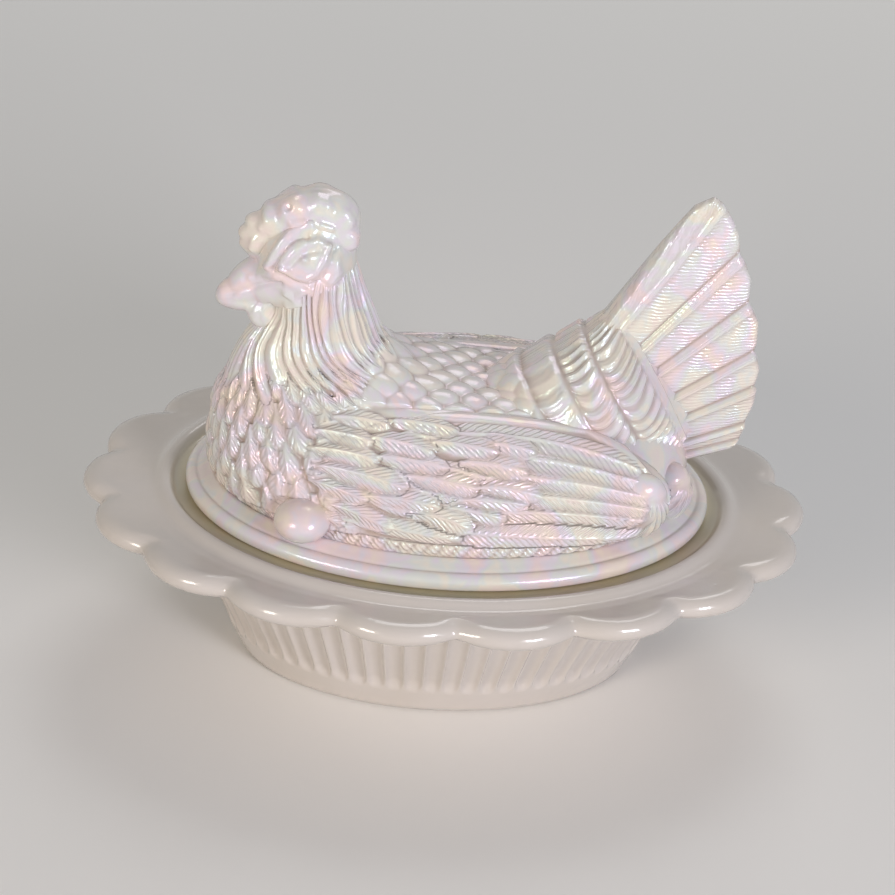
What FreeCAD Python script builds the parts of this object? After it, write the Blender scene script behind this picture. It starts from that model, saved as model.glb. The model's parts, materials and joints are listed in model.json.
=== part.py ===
import FreeCAD, Part

import math
import os

# Covered dish of pressed milk glass: a fluted oval dish with a scalloped flange, and a lid that is a hen.
# Millimetres, +Z up. The origin is on the table under the middle of the dish, -X is the beak, +X the tail.

DRIVING_SIZES = (
    # dish, over the scallops and on the table
    ("dish_length", 215.0),
    ("dish_width", 158.0),
    ("scallop_count", 18),
    ("scallop_depth", 4.6),
    ("notch_round", 2.5),
    ("lip_top", 56.0),
    ("lip_thickness", 7.0),
    ("lip_round", 3.3),
    # foot band and fluted wall
    ("foot_length", 119.0),
    ("foot_width", 74.0),
    ("foot_height", 10.0),
    ("foot_flare", 4.4),
    ("foot_recess", 1.2),
    ("foot_ring", 7.0),
    ("root_length", 164.0),
    ("root_width", 122.0),
    ("flute_count", 64),
    ("flute_depth", 1.1),
    ("foot_step", 0.6),
    ("scoop_height", 3.5),
    # inside of the dish and its seat for the lid
    ("floor_thickness", 7.0),
    ("bowl_floor_length", 92.0),
    ("bowl_floor_width", 48.0),
    ("bowl_heel", 4.2),
    ("mouth_taper", 1.8),
    ("seat_height", 54.6),
    ("seat_width", 3.5),
    ("ridge_rise", 3.0),
    ("ridge_width", 2.4),
    ("ridge_sink", 0.8),
    ("recess_clearance", 3.5),
    # lid rim, its sloping ledge and the locating lip under it
    ("lid_length", 155.0),
    ("lid_width", 112.6),
    ("rim_thickness", 5.2),
    ("rim_round", 2.2),
    ("ledge_width", 7.5),
    ("ledge_rise", 1.8),
    ("lip_clearance", 1.2),
    ("lip_depth", 3.5),
    ("lip_wall", 5.5),
    ("cavity_rise", 30.0),
    # hen above the ledge
    ("head_rise", 66.8),
    ("head_length", 32.0),
    ("head_width", 26.0),
    ("head_height", 31.0),
    ("beak_length", 26.0),
    ("beak_width", 11.0),
    ("beak_height", 12.5),
    ("beak_droop", 20.0),
    ("comb_length", 36.0),
    ("comb_width", 20.0),
    ("comb_height", 21.5),
    ("comb_tilt", 24.0),
    ("comb_lobe", 8.0),
    ("comb_lobe_count", 5),
    ("wattle_length", 12.0),
    ("wattle_width", 8.0),
    ("eye_size", 7.0),
    ("wing_length", 100.0),
    ("wing_height", 38.0),
    ("wing_thickness", 17.0),
    ("wing_lean", 38.0),
    ("saddle_length", 76.0),
    ("saddle_width", 44.0),
    ("saddle_height", 40.0),
    ("saddle_tilt", 38.0),
    ("saddle_band_length", 20.0),
    ("saddle_band_rise", 1.2),
    ("tail_reach", 48.0),
    ("tail_rise", 86.0),
    ("tail_thickness", 12.0),
    ("shaft_width", 1.8),
    ("shaft_rise", 0.8),
    ("leaf_length", 11.0),
    ("leaf_width", 9.0),
    ("leaf_height", 15.0),
    ("egg_length", 16.0),
    ("egg_height", 12.4),
    ("cut_overrun", 2.0),
)

# Fan of closed loops from the ledge up through the breast and neck into the head. Each row is the front
# point and the rear point as shares of the half length and the head rise, and the half width as a share.
BODY_LOOP_SHARES = (
    (-1.000, -0.035, 1.000, -0.035, 1.000),
    (-1.020, 0.120, 1.010, 0.155, 0.960),
    (-1.010, 0.235, 0.930, 0.320, 0.875),
    (-1.000, 0.335, 0.787, 0.415, 0.725),
    (-0.965, 0.430, 0.555, 0.450, 0.545),
    (-0.930, 0.535, 0.277, 0.463, 0.430),
    (-0.885, 0.630, 0.027, 0.492, 0.370),
    (-0.830, 0.705, -0.177, 0.550, 0.330),
    (-0.790, 0.768, -0.300, 0.648, 0.297),
    (-0.780, 0.825, -0.360, 0.776, 0.279),
    (-0.770, 0.950, -0.420, 0.930, 0.250),
)

# Outline of the tail fan from its lower corner, as shares of its reach and rise: the front edge, then each
# feather tip as a bulge followed by the notch below it.
TAIL_FRONT_SHARES = ((0.000, 0.330), (0.055, 0.560), (0.270, 0.795), (0.480, 0.960), (0.590, 0.995))
TAIL_TIP_SHARES = (
    (0.745, 0.860, 0.765, 0.795),
    (0.860, 0.700, 0.865, 0.610),
    (0.945, 0.545, 0.938, 0.437),
    (0.997, 0.360, 0.972, 0.300),
    (0.990, 0.235, 0.950, 0.160),
    (0.932, 0.100, 0.850, 0.040),
    (0.760, 0.000, 0.640, 0.020),
)
TAIL_FOOT_SHARES = (0.300, -0.030)

# Shafts of the seven tail feathers: where each starts, near the root, and where it ends short of its tip.
TAIL_SHAFT_SHARES = (
    (0.137, 0.570, 0.565, 0.935),
    (0.245, 0.470, 0.715, 0.780),
    (0.330, 0.365, 0.820, 0.615),
    (0.400, 0.275, 0.885, 0.450),
    (0.470, 0.190, 0.930, 0.315),
    (0.500, 0.110, 0.935, 0.180),
    (0.480, 0.050, 0.860, 0.075),
)

# The lens that thins the tail towards its tips: its middle and its half sizes along the reach and rise.
TAIL_LENS_SHARES = (0.25, 0.35, 1.05, 0.80)

# Where each form sits, as shares of the half length, the half width and the head rise.
HEAD_PLACE_SHARES = (-0.630, 0.0, 1.000)
BEAK_PLACE_SHARES = (-0.835, 0.0, 0.868)
COMB_PLACE_SHARES = (-0.665, 0.0, 1.125)
WATTLE_PLACE_SHARES = (-0.790, 0.065, 0.757)
EYE_PLACE_SHARES = (-0.660, 0.215, 1.070)
WING_PLACE_SHARES = (0.170, 0.660, 0.200)
SADDLE_PLACE_SHARES = (0.520, 0.0, 0.360)
EGG_PLACE_SHARES = (-0.615, -0.800, 0.060)
TAIL_PLACE_SHARES = (0.570, 0.0, 0.100)

LEAF_PLACE_SHARES = ((0.775, 0.690, 0.205), (0.925, 0.320, 0.100))

# Bands of the saddle: how far each lies from its middle, as a share of its half length.
SADDLE_BAND_SHARES = (-0.45, -0.05, 0.35)

# How far out the comb's lobes lie, as a share of the comb's own half length and half height.
COMB_ARCH_SHARE = 0.75

# Unit circle that named sizes scale into each loop.
UNIT_RADIUS = 1.0
QUARTER_TURN = 90

doc = FreeCAD.newDocument("CoveredDish")
sheet = doc.addObject("Spreadsheet::Sheet", "Sizes")
for row, (alias, value) in enumerate(DRIVING_SIZES, start=1):
    sheet.set("A%d" % row, alias)
    sheet.set("B%d" % row, str(value))
    sheet.setAlias("B%d" % row, alias)
doc.recompute()


def size(alias):
    """Value of one driving size."""
    return float(sheet.get(alias))


def bound(kind, name, **formulas):
    """New primitive whose properties follow formulas in the driving sizes."""
    item = doc.addObject(kind, name)
    for key, formula in formulas.items():
        item.setExpression(key.replace("__", "."), formula)
    return item


def shaped(name, shape):
    """New feature that holds a worked-out shape."""
    item = doc.addObject("Part::Feature", name)
    item.Shape = shape
    item.Placement = FreeCAD.Placement()
    return item


def joined(name, items):
    """Union of several objects, one after another."""
    whole = items[0]
    for step, tool in enumerate(items[1:], start=1):
        last = step == len(items) - 1
        item = doc.addObject("Part::Fuse", name if last else "%s_%d" % (name, step))
        item.Base = whole
        item.Tool = tool
        whole = item
    return whole


def removed(name, base, tool):
    """Base with the tool cut away."""
    item = doc.addObject("Part::Cut", name)
    item.Base = base
    item.Tool = tool
    return item


def oval(name, half_length, half_width, height):
    """Level ellipse: half length along X, half width along Y, at a height."""
    return bound(
        "Part::Ellipse",
        name,
        MajorRadius=half_length,
        MinorRadius=half_width,
        Placement__Base__z=height,
    )


def tapered(name, sections):
    """Solid between level ellipses, given as (half length, half width, height) formulas from below."""
    ovals = [oval("%s_oval_%d" % (name, k), *section) for k, section in enumerate(sections)]
    item = doc.addObject("Part::Loft", name)
    item.Sections = ovals
    item.Solid = True
    item.Ruled = True
    return item


def ellipse_point(half_length, half_width, angle, height):
    """Point of a level ellipse at its parameter angle."""
    return FreeCAD.Vector(half_length * math.cos(angle), half_width * math.sin(angle), height)


HALF_LID = ("Sizes.lid_length / 2", "Sizes.lid_width / 2")
HALF_FOOT = ("Sizes.foot_length / 2", "Sizes.foot_width / 2")
HALF_BOWL_FLOOR = ("Sizes.bowl_floor_length / 2", "Sizes.bowl_floor_width / 2")
LIP_BOTTOM = "(Sizes.lip_top - Sizes.lip_thickness)"
RIM_TOP = "(Sizes.seat_height + Sizes.rim_thickness)"
LEDGE_TOP = "(Sizes.seat_height + Sizes.rim_thickness + Sizes.ledge_rise)"
RECESS = "Sizes.recess_clearance"
MOUTH = "(-Sizes.seat_width)"


def grown(pair, growth):
    """Half length and half width formulas of an ellipse that stands out from another by one distance."""
    return tuple("%s + %s" % (part, growth) for part in pair)


# Flange: one arc per scallop between notches, which lie on an ellipse inside the scallops' own. The small
# sine term spreads the notches as on the real dish, a little wider along its sides than at its ends.
NOTCH_SPREAD_SHARE = 0.035

# Rise along a unit of edge under which the edge counts as level.
LEVEL_SLOPE = 0.5


def scallop_angle(step):
    """Ellipse parameter of a notch, or of a scallop's middle at a half step, counted from the front."""
    turn = 2 * math.pi * step / size("scallop_count") - math.pi / 2
    return turn + NOTCH_SPREAD_SHARE * math.sin(2 * turn)


def flange_outline(height):
    """Closed wire of the scallops at a height."""
    half_length = size("dish_length") / 2
    half_width = size("dish_width") / 2
    depth = size("scallop_depth")
    arcs = []
    for k in range(int(size("scallop_count"))):
        start = ellipse_point(half_length - depth, half_width - depth, scallop_angle(k), height)
        crown = ellipse_point(half_length, half_width, scallop_angle(k + 0.5), height)
        end = ellipse_point(half_length - depth, half_width - depth, scallop_angle(k + 1), height)
        arcs.append(Part.Arc(start, crown, end).toShape())
    return Part.Wire(arcs)


def is_level(edge):
    """Whether an edge of a plate starts out level, and not upright."""
    return abs(edge.tangentAt(edge.FirstParameter).z) < LEVEL_SLOPE


def rounded_flange():
    """Scalloped plate with softened notches and a fully rounded lip."""
    thickness = size("lip_thickness")
    face = Part.Face(flange_outline(size("lip_top") - thickness))
    plate = face.extrude(FreeCAD.Vector(0, 0, thickness))
    uprights = [edge for edge in plate.Edges if not is_level(edge)]
    plate = plate.makeFillet(size("notch_round"), uprights)
    rims = [edge for edge in plate.Edges if is_level(edge)]
    return plate.makeFillet(size("lip_round"), rims)


def fluted_loop(half_length, half_width, height, depth):
    """Closed wire of hollow arcs between even points of an ellipse, each arc's middle set in by a depth."""
    ellipse = Part.Ellipse(FreeCAD.Vector(0, 0, height), half_length, half_width).toShape()
    count = int(size("flute_count"))
    points = ellipse.discretize(Number=2 * count + 1)
    arcs = []
    for k in range(count):
        start, middle, end = points[2 * k:2 * k + 3]
        inward = FreeCAD.Vector(-middle.x / half_length ** 2, -middle.y / half_width ** 2, 0)
        middle = middle + inward.normalize() * depth
        arcs.append(Part.Arc(start, middle, end).toShape())
    return Part.Wire(arcs)


def fluted_wall():
    """Flared wall from inside the foot band up into the flange; its flutes fade in above the band."""
    foot_half = (size("foot_length") / 2, size("foot_width") / 2)
    root_half = (size("root_length") / 2, size("root_width") / 2)
    flare = size("foot_flare")
    depth = size("flute_depth")
    foot_top = size("foot_height")
    top = size("lip_top") - size("lip_thickness") / 2
    scoop_top = foot_top + size("scoop_height")
    scoop_share = size("scoop_height") / (top - foot_top)
    low = [half + flare - size("foot_step") for half in foot_half]
    middle = [start + (end - start) * scoop_share for start, end in zip(low, root_half)]
    loops = [
        fluted_loop(low[0] - flare, low[1] - flare, size("floor_thickness") / 2, 0),
        fluted_loop(low[0], low[1], foot_top, 0),
        fluted_loop(middle[0], middle[1], scoop_top, depth),
        fluted_loop(root_half[0], root_half[1], top, depth),
    ]
    return Part.makeLoft(loops, True, True)


foot_band = tapered(
    "foot_band",
    (
        HALF_FOOT + ("0 mm",),
        grown(HALF_FOOT, "Sizes.foot_flare") + ("Sizes.foot_height",),
    ),
)
wall = shaped("fluted_wall", fluted_wall())
flange = shaped("flange", rounded_flange())
ridge = tapered(
    "ridge",
    (
        grown(HALF_LID, RECESS + " + 2 * Sizes.ridge_width") + (LIP_BOTTOM,),
        grown(HALF_LID, RECESS + " + 2 * Sizes.ridge_width") + ("Sizes.lip_top - Sizes.ridge_sink",),
        grown(HALF_LID, RECESS + " + Sizes.ridge_width") + ("Sizes.seat_height + Sizes.ridge_rise",),
    ),
)
recess = tapered(
    "seat_recess",
    (
        grown(HALF_LID, RECESS) + ("Sizes.seat_height",),
        grown(HALF_LID, RECESS) + ("Sizes.seat_height + Sizes.ridge_rise + Sizes.cut_overrun",),
    ),
)
bowl_space = tapered(
    "bowl_space",
    (
        HALF_BOWL_FLOOR + ("Sizes.floor_thickness",),
        grown(HALF_BOWL_FLOOR, "Sizes.floor_thickness") + ("Sizes.floor_thickness + Sizes.bowl_heel",),
        grown(HALF_LID, MOUTH + " - Sizes.mouth_taper") + (LIP_BOTTOM,),
        grown(HALF_LID, MOUTH) + ("Sizes.seat_height + Sizes.cut_overrun",),
    ),
)
under_foot = tapered(
    "under_foot",
    (
        grown(HALF_FOOT, "-Sizes.foot_ring") + ("-Sizes.cut_overrun",),
        grown(HALF_FOOT, "-Sizes.foot_ring") + ("Sizes.foot_recess",),
    ),
)
dish_mass = joined("dish_mass", [foot_band, wall, flange, ridge])
dish_spaces = joined("dish_spaces", [recess, bowl_space, under_foot])
nest_dish = removed("nest_dish", dish_mass, dish_spaces)

# Lid: rim with a rounded edge, its ledge, the locating lip below it, and the hen.
rim_plate = tapered(
    "rim_plate",
    (
        HALF_LID + ("Sizes.seat_height",),
        HALF_LID + (RIM_TOP,),
    ),
)
ledge = tapered(
    "ledge",
    (
        grown(HALF_LID, "-Sizes.rim_round") + (RIM_TOP + " - Sizes.rim_round",),
        grown(HALF_LID, "-Sizes.rim_round") + (RIM_TOP,),
        grown(HALF_LID, "-Sizes.ledge_width") + (LEDGE_TOP,),
    ),
)
locating_lip = tapered(
    "locating_lip",
    (
        grown(HALF_LID, MOUTH + " - 2 * Sizes.lip_clearance") + ("Sizes.seat_height - Sizes.lip_depth",),
        grown(HALF_LID, MOUTH + " - Sizes.lip_clearance") + ("Sizes.seat_height",),
        grown(HALF_LID, MOUTH + " - Sizes.lip_clearance") + (RIM_TOP + " - Sizes.rim_round",),
    ),
)
doc.recompute()


def rounded_rim():
    """Rim plate with its upper and lower outer edges rounded."""
    plate = rim_plate.Shape
    rims = [edge for edge in plate.Edges if is_level(edge)]
    return plate.makeFillet(size("rim_round"), rims)


def placed(shares):
    """Point of the hen from shares of the half length, half width and head rise."""
    half_length = size("lid_length") / 2 - size("ledge_width")
    half_width = size("lid_width") / 2 - size("ledge_width")
    ledge_top = size("seat_height") + size("rim_thickness") + size("ledge_rise")
    return FreeCAD.Vector(
        shares[0] * half_length,
        shares[1] * half_width,
        ledge_top + shares[2] * size("head_rise"),
    )


def body_loop(row):
    """Closed loop across the body: a unit circle stretched between its front and rear points."""
    front = placed((row[0], 0.0, row[1]))
    rear = placed((row[2], 0.0, row[3]))
    side = placed((0.0, row[4], 0.0)).y
    middle = (front + rear) / 2
    reach = (rear - front) / 2
    normal = FreeCAD.Vector(-reach.z, 0, reach.x).normalize()
    stretch = FreeCAD.Matrix(
        reach.x, 0, normal.x, middle.x,
        0, side, 0, 0,
        reach.z, 0, normal.z, middle.z,
        0, 0, 0, 1,
    )
    return Part.Wire(Part.makeCircle(UNIT_RADIUS).transformGeometry(stretch))


def body_shape():
    """Breast, back and neck as one smooth loft."""
    return Part.makeLoft([body_loop(row) for row in BODY_LOOP_SHARES], True, False)


def ball(name, length, width, height, place_shares, tilt=0.0, lean=0.0, side=1):
    """Ellipsoid with full sizes along X, Y and Z, tilted about Y, then leaned about X.

    It is made a quarter turn about Z from its place, so that its seam lies on its flank and not on the
    hen's middle plane, where the forms meet each other.
    """
    item = bound(
        "Part::Ellipsoid",
        name,
        Radius1="%s / 2" % height,
        Radius2="%s / 2" % width,
        Radius3="%s / 2" % length,
    )
    shares = (place_shares[0], place_shares[1] * side, place_shares[2])
    turn = FreeCAD.Rotation(FreeCAD.Vector(1, 0, 0), lean * side)
    turn = turn.multiply(FreeCAD.Rotation(FreeCAD.Vector(0, 1, 0), tilt))
    turn = turn.multiply(FreeCAD.Rotation(FreeCAD.Vector(0, 0, 1), QUARTER_TURN))
    item.Placement = FreeCAD.Placement(placed(shares), turn)
    return item


def comb_lobes():
    """Balls that stand out of both flanks of the comb, on an arch from its front to its rear."""
    count = int(size("comb_lobe_count"))
    half_length = size("comb_length") / 2
    half_width = size("comb_width") / 2
    half_height = size("comb_height") / 2
    across_share = math.sqrt(1 - COMB_ARCH_SHARE ** 2)
    turn = FreeCAD.Rotation(FreeCAD.Vector(0, 1, 0), -size("comb_tilt"))
    middle = placed(COMB_PLACE_SHARES)
    lobes = []
    for side in (-1, 1):
        for k in range(count):
            angle = math.pi * (k + 0.5) / count
            offset = FreeCAD.Vector(
                COMB_ARCH_SHARE * half_length * math.cos(angle),
                side * across_share * half_width,
                COMB_ARCH_SHARE * half_height * math.sin(angle),
            )
            lobe = bound("Part::Sphere", "comb_lobe_%d" % (len(lobes) + 1), Radius="Sizes.comb_lobe / 2")
            lobe.Placement = FreeCAD.Placement(middle + turn.multVec(offset), FreeCAD.Rotation())
            lobes.append(lobe)
    return lobes


def saddle_bands():
    """Rings that swell out of the saddle, one behind the other along its axis."""
    half_length = size("saddle_length") / 2
    axis = FreeCAD.Rotation(FreeCAD.Vector(0, 1, 0), -size("saddle_tilt")).multVec(FreeCAD.Vector(1, 0, 0))
    bands = []
    for k, share in enumerate(SADDLE_BAND_SHARES, start=1):
        girth_share = math.sqrt(1 - share ** 2)
        band = ball(
            "saddle_band_%d" % k, "Sizes.saddle_band_length",
            "(Sizes.saddle_width * %f + 2 * Sizes.saddle_band_rise)" % girth_share,
            "(Sizes.saddle_height * %f + 2 * Sizes.saddle_band_rise)" % girth_share,
            SADDLE_PLACE_SHARES, tilt=-size("saddle_tilt"),
        )
        band.Placement.Base = band.Placement.Base + axis * (share * half_length)
        bands.append(band)
    return bands


def tail_shape():
    """Fan of seven feathers: a lobed plate, thickest at its root and thin at the tips, with raised shafts."""
    root = placed(TAIL_PLACE_SHARES)
    reach = size("tail_reach")
    rise = size("tail_rise")
    thickness = size("tail_thickness")
    shaft_reach = thickness + 2 * size("shaft_rise")

    def corner(share_x, share_z, depth=thickness):
        return FreeCAD.Vector(root.x + share_x * reach, -depth / 2, root.z + share_z * rise)

    def shaft(row):
        start = corner(row[0], row[1], shaft_reach)
        end = corner(row[2], row[3], shaft_reach)
        way = (end - start).normalize()
        aside = FreeCAD.Vector(-way.z, 0, way.x) * (size("shaft_width") / 2)
        corners = [start + aside, end + aside / 2, end - aside / 2, start - aside]
        return Part.Face(Part.makePolygon(corners + corners[:1])).extrude(FreeCAD.Vector(0, shaft_reach, 0))

    def lens(depth):
        middle = corner(TAIL_LENS_SHARES[0], TAIL_LENS_SHARES[1])
        swell = FreeCAD.Matrix(
            reach * TAIL_LENS_SHARES[2], 0, 0, middle.x,
            0, depth / 2, 0, 0,
            0, 0, rise * TAIL_LENS_SHARES[3], middle.z,
            0, 0, 0, 1,
        )
        return Part.makeSphere(UNIT_RADIUS).transformGeometry(swell)

    front = [corner(*pair) for pair in TAIL_FRONT_SHARES]
    edges = [Part.makeLine(front[0], front[1])]
    edges.append(Part.Arc(front[1], front[2], front[3]).toShape())
    edges.append(Part.makeLine(front[3], front[4]))
    last = front[4]
    for row in TAIL_TIP_SHARES:
        bulge = corner(row[0], row[1])
        notch = corner(row[2], row[3])
        edges.append(Part.Arc(last, bulge, notch).toShape())
        last = notch
    foot = corner(*TAIL_FOOT_SHARES)
    edges.append(Part.makeLine(last, foot))
    edges.append(Part.makeLine(foot, front[0]))
    plate = Part.Face(Part.Wire(edges)).extrude(FreeCAD.Vector(0, thickness, 0))
    fan = plate.common(lens(thickness))
    raised = lens(shaft_reach)
    for row in TAIL_SHAFT_SHARES:
        fan = fan.fuse(shaft(row).common(raised))
    return fan


rim = shaped("rim", rounded_rim())
body = shaped("body", body_shape())
head = ball("head", "Sizes.head_length", "Sizes.head_width", "Sizes.head_height", HEAD_PLACE_SHARES)
beak = ball(
    "beak", "Sizes.beak_length", "Sizes.beak_width", "Sizes.beak_height", BEAK_PLACE_SHARES,
    tilt=-size("beak_droop"),
)
comb = ball(
    "comb", "Sizes.comb_length", "Sizes.comb_width", "Sizes.comb_height", COMB_PLACE_SHARES,
    tilt=-size("comb_tilt"),
)
wattles = []
eyes = []
wings = []
leaves = []
for side, label in ((-1, "near"), (1, "far")):
    wattles.append(
        ball(
            "wattle_" + label, "Sizes.wattle_length", "Sizes.wattle_width", "Sizes.wattle_length",
            WATTLE_PLACE_SHARES, side=side,
        )
    )
    eyes.append(
        ball(
            "eye_" + label, "Sizes.eye_size", "Sizes.eye_size / 2", "Sizes.eye_size",
            EYE_PLACE_SHARES, side=side,
        )
    )
    for k, shares in enumerate(LEAF_PLACE_SHARES, start=1):
        leaves.append(
            ball(
                "leaf_%s_%d" % (label, k), "Sizes.leaf_length", "Sizes.leaf_width", "Sizes.leaf_height",
                shares, side=side,
            )
        )
    wings.append(
        ball(
            "wing_" + label, "Sizes.wing_length", "Sizes.wing_thickness", "Sizes.wing_height",
            WING_PLACE_SHARES, lean=size("wing_lean"), side=side,
        )
    )
saddle = ball(
    "saddle", "Sizes.saddle_length", "Sizes.saddle_width", "Sizes.saddle_height", SADDLE_PLACE_SHARES,
    tilt=-size("saddle_tilt"),
)
cushion = joined("cushion", [saddle] + saddle_bands())
egg = ball("egg", "Sizes.egg_length", "Sizes.egg_length", "Sizes.egg_height", EGG_PLACE_SHARES)
tail = shaped("tail", tail_shape())
cavity = bound(
    "Part::Ellipsoid",
    "cavity",
    Radius1="Sizes.cavity_rise",
    Radius2=grown(HALF_LID, MOUTH + " - Sizes.lip_clearance - Sizes.lip_wall")[0],
    Radius3=grown(HALF_LID, MOUTH + " - Sizes.lip_clearance - Sizes.lip_wall")[1],
    Placement__Base__z="Sizes.seat_height",
)
cavity_mouth = tapered(
    "cavity_mouth",
    (
        grown(HALF_LID, MOUTH + " - Sizes.lip_clearance - Sizes.lip_wall")
        + ("Sizes.seat_height - Sizes.lip_depth - Sizes.cut_overrun",),
        grown(HALF_LID, MOUTH + " - Sizes.lip_clearance - Sizes.lip_wall") + ("Sizes.seat_height",),
    ),
)
lid_plate = joined("lid_plate", [rim, ledge, locating_lip])
lobed_comb = joined("lobed_comb", [comb] + comb_lobes())
hen_head = joined("hen_head", [lobed_comb, head, beak] + wattles + eyes)
hen_body = joined("hen_body", [body, cushion, tail] + wings + leaves + [egg])
lid_mass = joined("lid_mass", [lid_plate, hen_body, hen_head])
lid_spaces = joined("lid_spaces", [cavity, cavity_mouth])
hen_lid = removed("hen_lid", lid_mass, lid_spaces)
doc.recompute()

# Every object has to be whole before anything is written.
for item in doc.Objects:
    faults = [word for word in item.State if word in ("Invalid", "Error")]
    if faults:
        raise RuntimeError("%s is %s" % (item.Name, faults))
os.makedirs("parts", exist_ok=True)
for item in (nest_dish, hen_lid):
    shape = item.Shape
    if shape.isNull() or not shape.isValid():
        raise RuntimeError(item.Name + " has no valid shape")
    if len(shape.Solids) != 1:
        raise RuntimeError("%s is in %d pieces" % (item.Name, len(shape.Solids)))
    item.Label = item.Name
    box = shape.optimalBoundingBox(True, False)
    print(
        "%s: %d solid, %d faces, volume %.0f, x %.1f..%.1f y %.1f..%.1f z %.1f..%.1f"
        % (
            item.Label, len(shape.Solids), len(shape.Faces), shape.Volume,
            box.XMin, box.XMax, box.YMin, box.YMax, box.ZMin, box.ZMax,
        )
    )
    shape.exportStep(os.path.join("parts", item.Label + ".step"))
overlap = nest_dish.Shape.common(hen_lid.Shape).Volume
print("overlap of the two pieces: %.3f cubic mm" % overlap)
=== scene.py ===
# %% [markdown]
# # A hen on her nest, pressed in milk glass
# The real thing is two pressings: a fluted oval dish with a scalloped flange, and a lid, a sitting hen. This
# notebook dresses the imported CAD part. Every surface is a formula on a grid, worked out with numpy in
# millimetres, so each shape can be read and changed as a few numbers.

# %% Load the imported model
import json

import bpy
import numpy as np
from mathutils import Matrix, Vector

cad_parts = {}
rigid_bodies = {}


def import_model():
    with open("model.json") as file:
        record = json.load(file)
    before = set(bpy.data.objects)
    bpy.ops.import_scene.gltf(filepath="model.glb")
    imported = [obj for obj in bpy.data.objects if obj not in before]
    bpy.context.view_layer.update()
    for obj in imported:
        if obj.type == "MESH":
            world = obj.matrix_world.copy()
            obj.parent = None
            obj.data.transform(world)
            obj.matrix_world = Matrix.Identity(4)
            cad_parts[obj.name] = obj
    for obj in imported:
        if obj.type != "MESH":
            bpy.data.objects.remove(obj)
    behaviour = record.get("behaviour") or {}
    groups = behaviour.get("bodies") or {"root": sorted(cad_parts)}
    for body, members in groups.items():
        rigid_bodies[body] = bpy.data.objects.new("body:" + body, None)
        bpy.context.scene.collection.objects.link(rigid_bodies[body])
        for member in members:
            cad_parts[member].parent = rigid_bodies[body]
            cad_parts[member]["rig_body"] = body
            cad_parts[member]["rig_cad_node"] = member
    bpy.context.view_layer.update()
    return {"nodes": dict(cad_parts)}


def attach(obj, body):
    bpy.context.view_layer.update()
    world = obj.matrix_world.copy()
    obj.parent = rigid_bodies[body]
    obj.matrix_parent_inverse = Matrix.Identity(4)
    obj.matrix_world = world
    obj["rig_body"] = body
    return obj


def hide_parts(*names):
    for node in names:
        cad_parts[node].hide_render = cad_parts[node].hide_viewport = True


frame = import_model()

MM = 0.001
TURN = 2.0 * np.pi

# %% [markdown]
# ## From a grid of points to a closed mesh
# Each piece is like a globe: its rows run from pole to pole and its columns go once round. The two pole rows
# shrink to one vertex each, and the last column joins the first, so the mesh is closed. If the enclosed volume
# comes out negative the faces point inwards, so their order is turned round.

# %% One function that makes every mesh


def closed_surface(name, grid, body, marks=None, normals=None):
    """Closed mesh from rows of points in millimetres: a pole, rings of points, and a pole.

    marks maps a name to one number per point, kept as a vertex attribute for the materials to read.
    """
    points = np.asarray(grid, float) * MM
    rows, columns = points.shape[:2]
    inner = np.arange((rows - 2) * columns).reshape(rows - 2, columns) + 1
    after = np.roll(inner, -1, axis=1)
    last = 1 + (rows - 2) * columns
    coordinates = np.vstack([points[:1].mean(1), points[1:-1].reshape(-1, 3), points[-1:].mean(1)])
    quads = np.stack([inner[:-1], after[:-1], after[1:], inner[1:]], -1).reshape(-1, 4)
    start = np.stack([np.zeros(columns, int), after[0], inner[0]], -1)
    end = np.stack([np.full(columns, last), inner[-1], after[-1]], -1)
    corners = coordinates[quads]
    volume = np.einsum("ij,ij->i", corners[:, 0], np.cross(corners[:, 1], corners[:, 2])).sum()
    volume += np.einsum("ij,ij->i", corners[:, 0], np.cross(corners[:, 2], corners[:, 3])).sum()
    if volume < 0:
        quads, start, end = quads[:, ::-1], start[:, ::-1], end[:, ::-1]
    mesh = bpy.data.meshes.new(name)
    mesh.from_pydata(coordinates, [], quads.tolist() + start.tolist() + end.tolist())
    mesh.polygons.foreach_set("use_smooth", np.ones(len(mesh.polygons), bool))
    for mark, values in (marks or {}).items():
        values = np.asarray(values, float)
        flat = np.concatenate([[values[0].mean()], values[1:-1].ravel(), [values[-1].mean()]])
        mesh.attributes.new(mark, "FLOAT", "POINT").data.foreach_set("value", flat)
    mesh.update()
    if normals is not None:
        flat = np.vstack([normals[:1].mean(1), normals[1:-1].reshape(-1, 3), normals[-1:].mean(1)])
        mesh.normals_split_custom_set_from_vertices(flat.tolist())
    piece = bpy.data.objects.new(name, mesh)
    bpy.context.scene.collection.objects.link(piece)
    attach(piece, body)
    print(name, rows, "rows", columns, "columns", 2 * len(quads) + 2 * columns, "triangles")
    return piece


def smooth_step(low, high, value):
    """0 below low, 1 above high, and 3t^2 - 2t^3 between."""
    share = np.clip((value - low) / (high - low), 0.0, 1.0)
    return share * share * (3.0 - 2.0 * share)


def bell(distance, width):
    """exp(-(distance / width)^2): 1 on a line, and soft on both its sides."""
    return np.exp(-((distance / width) ** 2))


def full_turn(count):
    """Even angles once round, as a row."""
    return np.linspace(0.0, TURN, count, endpoint=False)[None, :]


def through(rows, steps):
    """Catmull-Rom curve through the rows of a table: steps points between each row and the next."""
    table = np.asarray(rows, float)
    padded = np.vstack([2 * table[0] - table[1], table, 2 * table[-1] - table[-2]])
    share = np.linspace(0.0, 1.0, steps, endpoint=False)[:, None, None]
    a, b, c, d = padded[:-3], padded[1:-2], padded[2:-1], padded[3:]
    curve = 0.5 * (
        2 * b + (c - a) * share + (2 * a - 5 * b + 4 * c - d) * share**2 + (3 * b - a - 3 * c + d) * share**3
    )
    return np.vstack([curve.transpose(1, 0, 2).reshape(-1, table.shape[1]), table[-1:]])


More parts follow.
